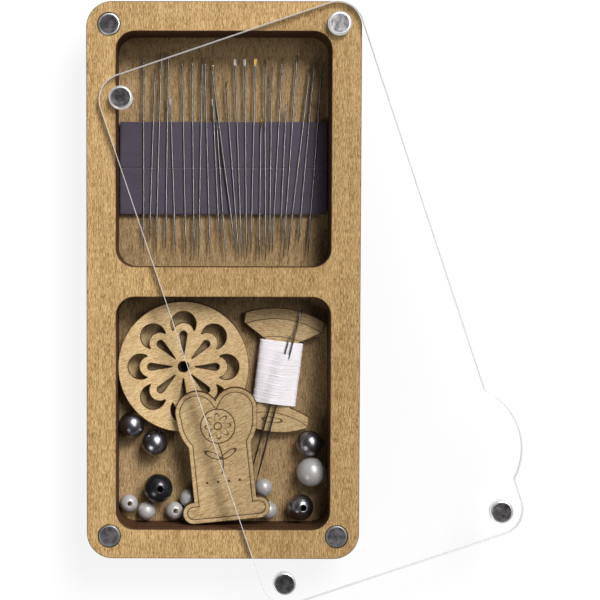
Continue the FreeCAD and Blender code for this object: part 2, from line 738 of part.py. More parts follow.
def bead(place, diameter, bore, sides, bearing):
    """Drilled round bead on the floor; its bore stands upright, or lies along a bearing if it has one."""
    radius = diameter / 2
    edge = math.asin(bore / diameter)
    bands = sides // 2
    rings = []
    for index in range(bands + 1):
        turn = edge + index * (math.pi - 2 * edge) / bands
        rings.append((radius * math.sin(turn), radius * math.cos(turn)))
    solid = flat_sided(rings, sides, True)
    way = UP
    if bearing is not None:
        way = Vector(math.cos(math.radians(bearing)), math.sin(math.radians(bearing)), 0)
    centre = Vector(place[0], place[1], FLOOR + SEAT_GAP + radius)
    solid.Placement = FreeCAD.Placement(centre, FreeCAD.Rotation(UP, way))
    return solid


def bead_pieces(places):
    """All the beads, each with its own bore."""
    return {name: bead(place, *bead_size(name), BORE_BEARINGS.get(name)) for name, place in places.items()}


def main():
    """Build every piece and write one file for each."""
    os.makedirs("parts", exist_ok=True)
    places = bead_places()
    pieces = {}
    pieces.update(box_pieces())
    pieces.update(lid_pieces())
    pieces.update(strip_pieces())
    pieces["sewing_needles"] = needle_row()
    pieces.update(bobbin_pieces())
    pieces.update(spool_pieces())
    pieces["thread_card"] = thread_card(places)
    pieces.update(bead_pieces(places))
    for name, shape in pieces.items():
        shape.exportStep("parts/" + name + ".step")
    print("%d pieces written" % len(pieces))


main()
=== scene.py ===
"""Looks of the bobbin box, built around its packed CAD model.

Shapes are worked out in millimetres in the CAD model's own frame, and put into meshes in metres.
"""

import json
import math
from types import SimpleNamespace

import bmesh
import bpy
import numpy as np
from bpy.props import FloatProperty, FloatVectorProperty, IntProperty, PointerProperty
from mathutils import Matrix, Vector
from mathutils.geometry import tessellate_polygon


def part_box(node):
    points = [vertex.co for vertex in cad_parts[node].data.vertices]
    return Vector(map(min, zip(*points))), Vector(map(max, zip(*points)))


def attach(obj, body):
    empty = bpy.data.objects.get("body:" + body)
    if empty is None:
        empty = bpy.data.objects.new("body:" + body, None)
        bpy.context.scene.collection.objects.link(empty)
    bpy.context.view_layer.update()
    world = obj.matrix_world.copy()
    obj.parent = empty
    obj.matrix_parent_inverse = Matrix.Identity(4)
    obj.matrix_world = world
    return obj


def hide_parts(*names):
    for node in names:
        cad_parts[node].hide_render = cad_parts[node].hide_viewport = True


bl_info = {
    "name": "Bobbin box",
    "version": (1, 0, 0),
    "blender": (4, 5, 0),
    "location": "3D View > Sidebar > Bobbin box",
    "description": "Dresses the packed CAD model of a plywood sewing box with a clear swinging lid",
    "category": "Object",
}

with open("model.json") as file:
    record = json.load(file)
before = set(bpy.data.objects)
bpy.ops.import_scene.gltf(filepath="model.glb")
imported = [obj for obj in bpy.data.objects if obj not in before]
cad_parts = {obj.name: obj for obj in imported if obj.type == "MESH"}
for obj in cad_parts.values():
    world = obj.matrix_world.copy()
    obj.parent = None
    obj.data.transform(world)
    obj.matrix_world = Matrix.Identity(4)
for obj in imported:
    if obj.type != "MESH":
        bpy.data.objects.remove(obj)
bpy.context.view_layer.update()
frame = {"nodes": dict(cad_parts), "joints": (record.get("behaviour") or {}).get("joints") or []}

MM = 0.001
ARC_STEP = 0.45
SHARP_ANGLE = math.radians(40)
MERGE_DISTANCE = 1e-8
LEAST_EDGE = 1e-9

# Points round or along the pieces
MAGNET_SIDES = 64
BEAD_SIDES = 56
BEAD_STEPS = 41
NEEDLE_SIDES = 14
TAPER_STEPS = 9
EYE_STEPS = 28
EYE_SIDES = 8
SECTION_STEPS = 121
THREAD_STEPS = 44
THREAD_SIDES = 8

# Needles on the strips: shift of the middle, lean in degrees, gaps to the rear and the front wall,
# and lift of the eye
NEEDLE_ROW = (
    (0.0, 0.0, 5.5, 3.3, 0.0), (0.3, 1.9, 8.8, 6.3, 0.0), (0.1, 1.5, 4.5, 3.1, 0.0),
    (0.5, 0.8, 4.5, 4.5, 0.0), (0.2, -2.0, 16.7, 2.9, 0.0), (1.4, -1.1, 6.1, 1.8, 0.0),
    (1.9, -0.7, 5.7, 1.8, 0.0), (1.9, 1.0, 5.7, 2.2, 0.0), (2.0, -1.6, 5.9, 1.7, 0.0),
    (2.3, -2.8, 16.9, 5.9, 0.0), (1.4, -3.9, 5.9, 1.5, 0.0), (0.8, -7.6, 8.2, 4.2, 1.1),
    (0.9, -4.4, 12.4, 2.3, 0.0), (0.7, -2.1, 6.1, 1.7, 0.0), (0.7, -0.7, 6.0, 2.0, 0.0),
    (0.7, 1.2, 5.9, 2.9, 0.0), (0.8, 0.6, 22.9, 0.7, 0.0), (0.2, -0.4, 6.3, 1.1, 0.0),
    (-0.3, 0.6, 8.3, 4.0, 0.0), (-0.6, 2.9, 5.8, 2.7, 0.0), (-0.7, 2.4, 18.6, 6.5, 0.0),
    (-1.0, 3.7, 5.1, 1.8, 0.0), (-0.6, 6.6, 8.5, 2.7, 0.0), (-0.6, 4.9, 6.8, 5.0, 0.0),
    (0.0, 4.2, 6.8, 2.0, 0.0),
)
GILT_EYES = (6, 7, 10, 11, 15, 16)
NEEDLE_CLEARANCE = 0.02

# Extra thickness of the wire round an eye, and how far points of a path that coincide are set apart
EYE_SWELL = 0.03
APART = 1e-4

# The two needles on the spool, in the spool's own axes: eye end, point, and where the thread covers them
SPOOL_NEEDLES = (((4.2, 18.6), (-2.3, -31.2), 4.6), ((1.9, 10.6), (-4.0, -28.3), 5.8))
HELD_ROLLS = (0.2, 0.5)

# Winding of the thread: power of its rounded section, clearance at the waist's ends, margin of the turns,
# depth of the solid core under the strands and in the card, flatness of a strand, pitch of the close turns
# in strands, and the tent over a needle by its half width, height and fade
WINDING = SimpleNamespace(power=0.6, clear=0.12, margin=0.1, below=0.06, sunk=0.05, flat=0.7, spread=1.02,
                          tent_half=2.6, tent_height=0.94, tent_fade=0.7)

# Lines engraved on the spool card, in its own axes: distances inside its bowed edges, the heights where
# they end and their half widths, the ellipse on the foot by its middle and half lengths, and the tint of
# the band outside the head's line
SPOOL_DRAWING = SimpleNamespace(head=3.0, head_end=9.1, head_line=0.11, neck=7.9, neck_end=8.1,
                                neck_line=0.1, foot=2.3, foot_end=-9.1, foot_line=0.1, eye_middle=-13.2,
                                eye_half=(2.7, 0.75), eye_line=0.12, band_tint=0.32)

# Drawing on the lobed card from the daisy's middle: radii of its eye, ring and petals, the stem's ends and
# wave, the leaves' middle and half lengths, the row of dots with a dot's fading edge, and half line widths
CARD_DRAWING = SimpleNamespace(eye=1.0, eye_line=0.18, ring=4.7, ring_line=0.16, heart=1.5, petal=2.0,
                               petals=8, petal_line=0.2, stem_top=-4.8, stem_foot=-13.3, stem_wave=0.5,
                               stem_sway=0.5, stem_line=0.17, leaf_middle=(2.2, -9.0), leaf_half=(2.0, 0.8),
                               leaf_rise=0.5, dot_row=-15.4, dot_pitch=3.0, dot_edge=(0.3, 0.45),
                               dots_end=5.3)
DAISY_HEIGHT = 26.4
SOFT_END = 0.1

# Right half of the lobed card, from the notch in its head to the middle of its foot, as arcs and corners
CARD_HEAD = ((0, 33.6), (6.2, 36.6), (11, 29))
CARD_SHOULDER = ((11, 29), (10.5, 25.2), (8.6, 21.4))
CARD_SIDE = ((8.6, 21.4), (8.6, 6))
CARD_FOOT = ((9, 6), (12, 3), (9, 0))
CARD_BASE = ((9, 0), (0, 0))

# Bearings in degrees of the bead holes that lie level; the others stand nearly upright
HOLE_BEARINGS = {
    "gunmetal_bead_1": 20, "gunmetal_bead_2": 70, "gunmetal_bead_3": 225, "white_pearl": 15,
    "small_pearl_2": 110, "small_pearl_4": 40, "small_pearl_5": 160, "small_pearl_6": 75,
}
LEVEL_HOLE_RISE = 0.12
UPRIGHT_HOLE = (0.18, 0.1, 1)

CORNERS = ("rear_left", "rear_right", "front_left", "front_right")
LID_MAGNETS = ("lid_magnet_rear_left", "lid_magnet_front_left", "lid_magnet_front_right")

# The base panel is darker and greyer than the frames: its share of their red, green and blue
FLOOR_TONE = np.array([0.77, 0.79, 0.9])

# Grain of each piece of thin plywood: its angle in degrees and the seed of its streaks. The seeds of the
# box's layers are a step apart.
CARD_GRAIN = {"bobbin_top_flange": (-68, 17), "bobbin_core": (-38, 26), "bobbin_bottom_flange": (-8, 35),
              "spool": (83, 71), "lobed": (-64, 93)}
BOX_SEED_STEP = 40

# Share of the thin plywood's colour on the pieces of the bobbin: the upper flange is lighter, a painted
# light, and the core is darker, a painted shade where it shows through the cut-outs
BOBBIN_PAINTED_LIGHT = {"bobbin_top_flange": 1.25, "bobbin_core": 0.5, "bobbin_bottom_flange": 1.0}

# Beads: linear colours of black glass and of the painted light glowing in a pearl's hole, and the finish of
# each kind
BLACK_GLASS = np.array([0.008, 0.008, 0.01])
HOLE_PAINTED_GLOW = (0.13, 0.115, 0.1)
BEAD_FINISHES = {"gunmetal": "gunmetal", "black": "black_gloss", "white": "pearl", "small": "pearl"}

# Camera: place in metres, turn in degrees, and shift of the picture in picture widths
CAMERA_PLACE = (-0.00285, 0.0101, 0.38799)
CAMERA_TURN = (-2.215, 0.391, 0.106)
CAMERA_SHIFT = (0.1607, -0.0035)

# Lamps in metres: place, point that it faces, and width
KEY_LAMP = ((0.95, 1.56, 1.9), (0, -0.01, 0), 1.12)
FILL_LAMP = ((-0.8, -1.0, 1.0), (0, -0.01, 0), 0.6)
GLINT_LAMP = ((0.45, 0.14, 0.9), (0, 0, 0), 0.36)

# Floor in metres, how much of it shows as plain white, and the heights between which the horizon fades
FLOOR_HALF = 30.0
FLOOR_LEVEL = -0.0002
FLOOR_WHITE = 0.87
HORIZON = (0.2, 0.35)


def length(name, description, size):
    """A length property, given in millimetres and held in metres."""
    return FloatProperty(name=name, description=description, default=size * MM, unit="LENGTH", precision=5)


def turn_angle(name, description, degrees):
    """An angle property, given in degrees."""
    return FloatProperty(name=name, description=description, default=math.radians(degrees), subtype="ANGLE")


def power(name, description, watts):
    """A lamp's power."""
    return FloatProperty(name=name, description=description, default=watts, unit="POWER")


def colour(name, description, red, green, blue):
    """A colour property, given as the 0 to 255 values that a screen shows."""
    screen = np.array([red, green, blue]) / 255
    linear = np.where(screen <= 0.04045, screen / 12.92, ((screen + 0.055) / 1.055) ** 2.4)
    return FloatVectorProperty(name=name, description=description, default=tuple(linear), size=3,
                               min=0, max=1, subtype="COLOR")


class BoxSizes(bpy.types.PropertyGroup):
    """Sizes of the plywood box and of its lid."""

    wall: length("Wall", "Width of the box wall", 8.0)
    divider: length("Divider", "Width of the bar between the compartments", 8.2)
    outer_radius: length("Outer radius", "Radius of the outer corners", 7.0)
    inner_radius: length("Inner radius", "Radius of the window corners", 5.0)
    magnet_gap: length("Magnet gap", "Gap round a magnet in its hole", 0.05)
    ply_edge: length("Plywood edge", "Rounding of the cut plywood edges", 0.14)
    scorch: length("Scorch", "Width of the browned line along a cut", 0.5)
    tab_width: length("Tab width", "Width of the lid's thumb tab", 25.2)
    tab_height: length("Tab height", "How far the tab stands out", 5.4)
    tab_centre: length("Tab centre", "Distance of the tab from the front edge", 26.0)
    tab_fillet: length("Tab fillet", "Radius beside the tab", 1.5)
    lid_edge: length("Lid edge", "Rounding of the polished lid edge", 0.05)
    lid_rim: length("Lid rim", "Width of the pale line along the lid's edge", 0.18)
    magnet_edge: length("Magnet edge", "Rounding of the magnet rims", 0.32)
    magnet_dish: length("Magnet dish", "How far a magnet's face is dished", 0.03)


class NeedleSizes(bpy.types.PropertyGroup):
    """Sizes of the sewing needles and of the strips that hold them."""

    diameter: length("Diameter", "Needle diameter", 0.55)
    taper: length("Taper", "Length of the point", 7.0)
    eye_length: length("Eye length", "Length of the eye", 1.6)
    eye_width: length("Eye width", "Width of the eye", 0.2)
    left_margin: length("Left margin", "First needle from the left of the strips", 6.9)
    spacing: length("Spacing", "Mean distance between needles", 1.9667)
    strip_edge: length("Strip edge", "Rounding of the strip edges", 0.12)
    strip_corner: length("Strip corner", "Radius of the strip corners", 0.3)
    strip_rim: length("Strip rim", "Width of the rubbed line along a strip's edge", 0.4)
    # The seam's lighter line is a painted highlight of the strips' edges
    seam: length("Seam", "Half width of the worn seam between the strips", 0.13)


class ContentSizes(bpy.types.PropertyGroup):
    """Sizes of the bobbin, the cards, the thread and the beads."""

    hole: length("Bobbin hole", "Diameter of the hole in the flanges", 3.0)
    rosette_count: IntProperty(name="Rosette", description="Petals of the rosette", default=8, min=3)
    rim: length("Rim", "Plain rim outside the crescents", 2.7)
    crescent: length("Crescent", "Radius of a crescent", 3.5)
    bite: length("Bite", "Radius of the crescent's inner curve", 2.95)
    bite_offset: length("Bite offset", "Distance between the crescent's two centres", 2.6)
    bridge: length("Bridge", "Wood between crescent and petal", 2.25)
    petal_length: length("Petal length", "Length of a petal", 7.2)
    petal_width: length("Petal width", "Width of a petal", 2.0)
    kerf: length("Kerf", "Radius that the laser leaves in a sharp corner", 0.1)
    spool_head: length("Spool head", "Width of the spool card's head", 22.0)
    spool_foot: length("Spool foot", "Width of the spool card's foot", 20.2)
    spool_waist: length("Spool waist", "Width of the spool card's waist", 9.4)
    waist_length: length("Waist length", "Length of the wound waist", 17.8)
    spool_taper: length("Spool taper", "Length of the taper below the head", 3.7)
    flange_edge: length("Flange edge", "Straight ends of head and foot", 2.9)
    crown: length("Crown", "Bow of the head and foot edges", 2.4)
    spool_turn: turn_angle("Spool turn", "How far the spool card is turned", -7)
    strand: length("Strand", "Diameter of the sewing thread", 0.3)
    wound: length("Wound thread", "Thickness of the thread beside the waist", 1.38)
    card_turn: turn_angle("Card turn", "How far the lobed card is turned", 6)
    card_ply: length("Card thickness", "Thickness of the lobed card", 2.5)
    card_scorch: length("Card scorch", "Width of the browned line along a cut in the thin plywood", 0.34)
    groove_inset: length("Groove inset", "Distance of the lobed card's groove from its edge", 1.25)
    groove_half: length("Groove half width", "Half the width of that groove", 0.18)
    groove_depth: length("Groove depth", "Depth of that groove", 0.14)
    gunmetal: length("Gunmetal bead", "Diameter of the gunmetal beads", 7.2)
    large_bead: length("Large bead", "Diameter of the black bead and the large pearl", 8.0)
    small_bead: length("Small pearl", "Diameter of the small pearls", 5.0)
    large_bore: length("Large bore", "Hole through a large bead", 1.7)
    small_bore: length("Small bore", "Hole through a small pearl", 1.4)
    bore_lip: length("Bore lip", "Rounding of the bead holes", 0.16)


class FinishColours(bpy.types.PropertyGroup):
    """Colours of the finishes."""

    box_pale: colour("Box wood, pale", "Pale streaks of the box plywood", 208, 174, 121)
    box_dark: colour("Box wood, dark", "Dark streaks of the box plywood", 134, 99, 52)
    card_pale: colour("Card wood, pale", "Pale fibres of the thin plywood", 203, 177, 134)
    card_dark: colour("Card wood, dark", "Dark fibres of the thin plywood", 157, 125, 80)
    scorched: colour("Scorched wood", "Cut walls of the plywood", 64, 40, 22)
    nickel: colour("Nickel", "Plating of the magnets", 176, 172, 175)
    rubber: colour("Rubber", "Magnetic strips", 78, 69, 83)
    steel: colour("Steel", "Needles", 168, 166, 164)
    gilt: colour("Gilt", "Gilt needle eyes", 206, 168, 84)
    thread: colour("Thread", "Sewing thread", 252, 247, 251)
    gunmetal: colour("Gunmetal", "Metallised beads", 146, 145, 150)
    pearl: colour("Pearl", "Imitation pearls", 184, 181, 179)


class StageSettings(bpy.types.PropertyGroup):
    """Camera, lamps and floor."""

    lens: FloatProperty(name="Lens", description="Focal length on a 36 mm sensor", default=82.69,
                        unit="CAMERA")
    key_power: power("Key lamp", "Power of the lamp at the rear right", 89.0)
    fill_power: power("Fill lamp", "Power of the lamp at the front left", 5.5)
    glint_power: power("Glint lamp", "Power of the small lamp that shows in the needles", 1.7)
    sky: FloatProperty(name="Sky", description="Level of the light from all round", default=0.07, min=0)


GROUPS = {"box": BoxSizes, "needles": NeedleSizes, "contents": ContentSizes, "colours": FinishColours,
          "stage": StageSettings}


def sizes(group):
    """Values of a property group, its lengths in millimetres and its colours as arrays."""
    settings = getattr(bpy.context.scene, "bobbin_box_" + group)
    values = SimpleNamespace()
    for key in GROUPS[group].__annotations__:
        value = getattr(settings, key)
        kind = settings.bl_rna.properties[key]
        if kind.unit == "LENGTH":
            value = value / MM
        if kind.subtype == "COLOR":
            value = np.array(value)
        setattr(values, key, value)
    return values


def node_box(node):
    """Lowest and highest corner of a CAD node in millimetres."""
    low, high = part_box(node)
    return np.array(low) / MM, np.array(high) / MM


# Shapes in the plane


def arc(start, middle, end):
    """Points of the circle through three points, from the first to the last, the last left out."""
    start, middle, end = (np.array(p, float) for p in (start, middle, end))
    sides = 2 * np.array([middle - start, end - start])
    squares = np.array([middle @ middle - start @ start, end @ end - start @ start])
    centre = np.linalg.solve(sides, squares)
    radius = np.linalg.norm(start - centre)
    angles = [math.atan2(*(p - centre)[::-1]) for p in (start, middle, end)]
    whole = 2 * math.pi
    sweep = (angles[2] - angles[0]) % whole
    if (angles[1] - angles[0]) % whole > sweep:
        sweep -= whole
    count = max(6, math.ceil(abs(sweep) * radius / ARC_STEP))
    turns = angles[0] + sweep * np.arange(count) / count
    return centre + radius * np.stack([np.cos(turns), np.sin(turns)], axis=1)


def corners(*points):
    """Corner points of straight runs."""
    return np.array(points, float)


def circle(centre, radius):
    """Loop of a full circle."""
    count = max(24, math.ceil(2 * math.pi * radius / ARC_STEP))
    turns = 2 * math.pi * np.arange(count) / count
    return np.array(centre) + radius * np.stack([np.cos(turns), np.sin(turns)], axis=1)


def rounded_rectangle(low, high, radius):
    """Loop of a rectangle with quarter-circle corners, counter-clockwise from the front right corner."""
    count = max(5, math.ceil(math.pi / 2 * radius / ARC_STEP))
    turns = np.linspace(-math.pi / 2, 0, count)[None, :] + math.pi / 2 * np.arange(4)[:, None]
    inner_low = np.array(low[:2]) + radius
    inner_high = np.array(high[:2]) - radius
    centre_x = np.array([inner_high[0], inner_high[0], inner_low[0], inner_low[0]])
    centre_y = np.array([inner_low[1], inner_high[1], inner_high[1], inner_low[1]])
    x = centre_x[:, None] + radius * np.cos(turns)
    y = centre_y[:, None] + radius * np.sin(turns)
    return np.stack([x.ravel(), y.ravel()], axis=1)


def turned(points, angle, about=(0, 0)):
    """Points turned about a point in the plane; a third coordinate stays."""
    points = np.array(points, float)
    cosine, sine = math.cos(angle), math.sin(angle)
    rotation = np.array([[cosine, sine], [-sine, cosine]])
    points[..., :2] = (points[..., :2] - np.array(about)) @ rotation + np.array(about)
    return points


def middle_of(points):
    """Middle of the box round some points."""
    return (points.min(axis=0) + points.max(axis=0)) / 2


def directed(loop, hole):
    """Loop with the sheet on its left: counter-clockwise outside, clockwise round a hole."""
    ahead = np.roll(loop, -1, axis=0)
    area = (loop[:, 0] * ahead[:, 1] - ahead[:, 0] * loop[:, 1]).sum()
    return loop[::-1] if (area < 0) != hole else loop


def moved_in(loop, inset):
    """Rings of a loop moved to its left by each inset along the mitred normals."""
    ahead = np.roll(loop, -1, axis=0) - loop
    ahead /= np.linalg.norm(ahead, axis=1, keepdims=True)
    left = np.stack([-ahead[:, 1], ahead[:, 0]], axis=1)
    left_behind = np.roll(left, 1, axis=0)
    spread = 1 + (left * left_behind).sum(axis=1, keepdims=True)
    mitre = (left + left_behind) / np.maximum(spread, 0.3)
    return loop[None] + np.asarray(inset)[:, None, None] * mitre[None]


def bow_radius(width, height):
    """Radius of the circle through the two ends and the top of a bow."""
    return ((width / 2) ** 2 + height ** 2) / (2 * height)


# Shapes in space


def grid_faces(rows, columns, closed_rows, closed_columns):
    """Quads of a grid of points, joined round where it is closed."""
    row = np.arange(rows if closed_rows else rows - 1)
    column = np.arange(columns if closed_columns else columns - 1)
    row, column = np.meshgrid(row, column, indexing="ij")
    next_row, next_column = (row + 1) % rows, (column + 1) % columns
    corners_of = (row * columns + column, next_row * columns + column,
                  next_row * columns + next_column, row * columns + next_column)
    return np.stack(corners_of, axis=-1).reshape(-1, 4)


def joined(parts):
    """One (points, faces, marks) shape from several, with the faces' numbers moved along."""
    points, faces, marks = [], [], []
    count = 0
    for part_points, part_faces, part_marks in parts:
        points.append(part_points)
        faces.extend((np.asarray(f) + count) for f in part_faces)
        marks.append(np.broadcast_to(part_marks, len(part_points)))
        count += len(part_points)
    return np.concatenate(points), faces, np.concatenate(marks)


def outward(points, faces):
    """Faces turned so that the closed shape's volume, the sum of its cone volumes, is positive."""
    volume = 0
    for block in faces:
        for corner in range(1, block.shape[1] - 1):
            a, b, c = points[block[:, 0]], points[block[:, corner]], points[block[:, corner + 1]]
            volume += (a * np.cross(b, c)).sum()
    return [block[:, ::-1] for block in faces] if volume < 0 else faces


def filled(rings, numbers, upward):
    """Triangles that fill the first ring and leave out the others, all facing up or all down."""
    flat = np.concatenate(rings)
    loops = [np.column_stack([ring, np.zeros(len(ring))]).tolist() for ring in rings]
    triangles = np.array(tessellate_polygon(loops))
    a, b, c = (flat[triangles[:, k]] for k in range(3))
    area = (b - a)[:, 0] * (c - a)[:, 1] - (b - a)[:, 1] * (c - a)[:, 0]
    wrong = (area < 0) == upward
    triangles[wrong] = triangles[wrong][:, ::-1]
    return np.concatenate(numbers)[triangles]


def sheet_shape(loops, low, high, edge, band, groove=None):
    """Sheet cut along closed loops, the first its outline and the others its holes.

    One profile is carried round every loop: from the upper face out to the cut, round it by a quarter
    circle, down the wall and back below. A profile point is an inset from the loop, a level and a mark,
    which is 1 where the cut has scorched the wood and 0 where the clean face begins. A groove, given by its
    distance from the edge, half width and depth, is cut into the upper face. The faces inside the rings
    are filled.
    """
    quarter = np.radians([0, 30, 60, 90])
    inset = edge * (1 - np.sin(quarter))
    drop = edge * (1 - np.cos(quarter))
    mark = np.array([0.5, 0.8, 1, 1])
    upper = np.stack([inset, high - drop, mark], axis=1)
    lower = np.stack([inset, low + drop, mark], axis=1)[::-1]
    face = [(band, high, 0)]
    if groove:
        away, half, depth = groove
        face = [(away + 2 * half, high, 0), (away + half, high, 0.3), (away, high - depth, 1),
                (away - half, high, 0.3), (band, high, 0)]
    profile = np.concatenate([face, upper, lower, [(band, low, 0)]])
    parts, first, last, first_numbers, last_numbers = [], [], [], [], []
    count = 0
    for index, loop in enumerate(loops):
        loop = directed(np.asarray(loop, float), index > 0)
        rings = moved_in(loop, profile[:, 0])
        level = np.broadcast_to(profile[:, 1, None, None], rings.shape[:2] + (1,))
        points = np.concatenate([rings, level], axis=2).reshape(-1, 3)
        marks = np.repeat(profile[:, 2], len(loop))
        parts.append((points, [grid_faces(len(profile), len(loop), False, True)], marks))
        first.append(rings[0])
        last.append(rings[-1])
        first_numbers.append(count + np.arange(len(loop)))
        last_numbers.append(count + len(points) - len(loop) + np.arange(len(loop)))
        count += len(points)
    points, faces, marks = joined(parts)
    faces = faces + [filled(first, first_numbers, True), filled(last, last_numbers, False)]
    return points, faces, marks


def revolved_shape(profile, marks, sides, centre, axis, closed=False):
    """Surface of revolution: each (radius, height) of the profile turned by every angle about an axis."""
    axis = np.array(axis, float) / np.linalg.norm(axis)
    helper = np.array([0.0, 0.0, 1.0]) if abs(axis[2]) < 0.9 else np.array([1.0, 0.0, 0.0])
    across = np.cross(axis, helper)
    across /= np.linalg.norm(across)
    other = np.cross(axis, across)
    turn = 2 * math.pi * np.arange(sides) / sides
    circle_points = np.cos(turn)[:, None] * across + np.sin(turn)[:, None] * other
    points = profile[:, 0, None, None] * circle_points[None] + profile[:, 1, None, None] * axis
    points = points.reshape(-1, 3)
    faces = outward(points, [grid_faces(len(profile), sides, closed, True)])
    return points + np.array(centre), faces, np.repeat(marks, sides)


def tube_shape(path, normal, radius, sides, closed=False, flat=1.0):
    """Tube along a path: ring k is a circle of radius k across the path, flattened along a normal."""
    if closed:
        way = np.roll(path, -1, axis=0) - np.roll(path, 1, axis=0)
    else:
        way = np.gradient(path, axis=0)
    way /= np.linalg.norm(way, axis=1, keepdims=True)
    normal = normal - (normal * way).sum(axis=1, keepdims=True) * way
    normal /= np.linalg.norm(normal, axis=1, keepdims=True)
    side = np.cross(way, normal)
    turn = 2 * math.pi * np.arange(sides) / sides
    ring = flat * np.cos(turn)[None, :, None] * normal[:, None] + np.sin(turn)[None, :, None] * side[:, None]
    points = (path[:, None] + np.asarray(radius)[:, None, None] * ring).reshape(-1, 3)
    faces = outward(points, [grid_faces(len(path), sides, closed, True)])
    return points, faces, np.zeros(len(points))


def piece(name, shape, material, body, nodes):
    """Object of a shape in millimetres, with its marks, that rides on a body and stands for CAD nodes."""
    points, faces, marks = shape
    mesh = bpy.data.meshes.new(name)
    listed = []
    for block in faces:
        listed.extend(block.tolist())
    mesh.from_pydata((points * MM).tolist(), [], listed)
    layer = mesh.attributes.new("mark", "FLOAT", "POINT")
    layer.data.foreach_set("value", np.asarray(marks, np.float32))
    tidy = bmesh.new()
    tidy.from_mesh(mesh)
    bmesh.ops.remove_doubles(tidy, verts=tidy.verts, dist=MERGE_DISTANCE)
    bmesh.ops.dissolve_degenerate(tidy, edges=tidy.edges, dist=LEAST_EDGE)
    tidy.to_mesh(mesh)
    tidy.free()
    mesh.polygons.foreach_set("use_smooth", np.full(len(mesh.polygons), True))
    mesh.set_sharp_from_angle(angle=SHARP_ANGLE)
    mesh.materials.append(material)
    made = bpy.data.objects.new(name, mesh)
    bpy.context.scene.collection.objects.link(made)
    if not mesh.polygons:
        raise RuntimeError(name + " has no faces")
    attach(made, body)
    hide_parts(*nodes)


# Finishes


class Shade:
    """A socket of a node tree, so that shader maths is written as Python expressions."""

    def __init__(self, tree, socket=None):
        self.tree = tree
        self.socket = socket

    def add(self, kind, settings=None, values=None, output=0):
        """Adds a node of a type, sets its settings, then its sockets' values or links."""
        node = self.tree.nodes.new(kind)
        for key, value in (settings or {}).items():
            setattr(node, key, value)
        for key, value in (values or {}).items():
            if isinstance(value, Shade):
                self.tree.links.new(value.socket, node.inputs[key])
            else:
                node.inputs[key].default_value = value
        return Shade(self.tree, node.outputs[output])

    def math(self, operation, *values):
        """A Math node of an operation."""
        return self.add("ShaderNodeMath", {"operation": operation}, dict(enumerate(values)))

    def __add__(self, other):
        return self.math("ADD", self, other)

    __radd__ = __add__

    def __sub__(self, other):
        return self.math("SUBTRACT", self, other)

    def __rsub__(self, other):
        return self.math("SUBTRACT", other, self)

    def __mul__(self, other):
        return self.math("MULTIPLY", self, other)

    __rmul__ = __mul__

    def __truediv__(self, other):
        return self.math("DIVIDE", self, other)

    def __rtruediv__(self, other):
        return self.math("DIVIDE", other, self)

    def __abs__(self):
        return self.math("ABSOLUTE", self)

    def clamp(self):
        """The value held between 0 and 1."""
        return self.add("ShaderNodeClamp", None, {0: self})

    def root(self):
        """Square root of the value."""
        return self.math("SQRT", self)

    def folded(self, span):
        """The value folded back and forth between 0 and a span."""
        return self.math("PINGPONG", self, span)

    def rise(self, low, high):
        """0 below low, 1 above high and a smooth step between."""
        return self.add("ShaderNodeMapRange", {"interpolation_type": "SMOOTHSTEP"},
                        {0: self, 1: low, 2: high})

    def mix(self, first, second):
        """Colour between two colours, by this value."""
        ends = [v if isinstance(v, Shade) else (*v, 1) for v in (first, second)]
        return self.add("ShaderNodeMix", {"data_type": "RGBA"}, {0: self.clamp(), 6: ends[0], 7: ends[1]}, 2)

    def blend(self, first, second):
        """Shader between two shaders, by this value."""
        return self.add("ShaderNodeMixShader", None, {0: self, 1: first, 2: second})

    def stretched(self, x, y, z):
        """Vector with each of its coordinates scaled."""
        return self.add("ShaderNodeVectorMath", {"operation": "MULTIPLY"}, {0: self, 1: (x, y, z)})

    def noise(self, detail=2.0, roughness=0.5):
        """Noise from 0 to 1 at this place."""
        return self.add("ShaderNodeTexNoise", None,
                        {"Vector": self, "Scale": 1.0, "Detail": detail, "Roughness": roughness})

    def parts(self):
        """The three coordinates of a vector."""
        split = self.add("ShaderNodeSeparateXYZ", None, {0: self}).socket.node
        return [Shade(self.tree, socket) for socket in split.outputs]

    def bump(self, strength, depth):
        """Normal of a surface whose height is this value times a depth in millimetres."""
        return self.add("ShaderNodeBump", None,
                        {"Height": self, "Strength": strength, "Distance": depth * MM})

    def feed(self, node, name):
        """Links the value to a socket of a node."""
        self.tree.links.new(self.socket, node.inputs[name])


def finish(name, constants):
    """New material with fixed values on its shader, and a Shade of its tree."""
    material = bpy.data.materials.new(name)
    material.use_nodes = True
    shader = material.node_tree.nodes["Principled BSDF"]
    for key, value in constants.items():
        shader.inputs[key].default_value = value
    return material, shader, Shade(material.node_tree)


def place_of(shade, centre=(0, 0, 0), angle=0.0):
    """Place on the piece in millimetres, in axes that are moved and turned about the vertical."""
    objects = shade.add("ShaderNodeTexCoord", None, None, "Object")
    moved = shade.add("ShaderNodeMapping", {"vector_type": "TEXTURE"},
                      {"Vector": objects, "Location": tuple(np.array(centre) * MM),
                       "Rotation": (0, 0, angle)})
    return moved.stretched(1 / MM, 1 / MM, 1 / MM)


def mark_of(shade):
    """The mark that a shape's profile carries."""
    return shade.add("ShaderNodeAttribute", {"attribute_name": "mark"}, None, "Fac")


def line_along(offset, half_width):
    """1 within a half width of where an offset is zero, fading at its edges."""
    return 1 - abs(offset).rise(half_width * 0.6, half_width * 1.4)


def distance(x, y):
    """Length of the vector (x, y)."""
    return (x * x + y * y).root()


def past(value, limit):
    """1 where a value in millimetres is past a limit, with a soft end."""
    return value.rise(limit - SOFT_END, limit + SOFT_END)


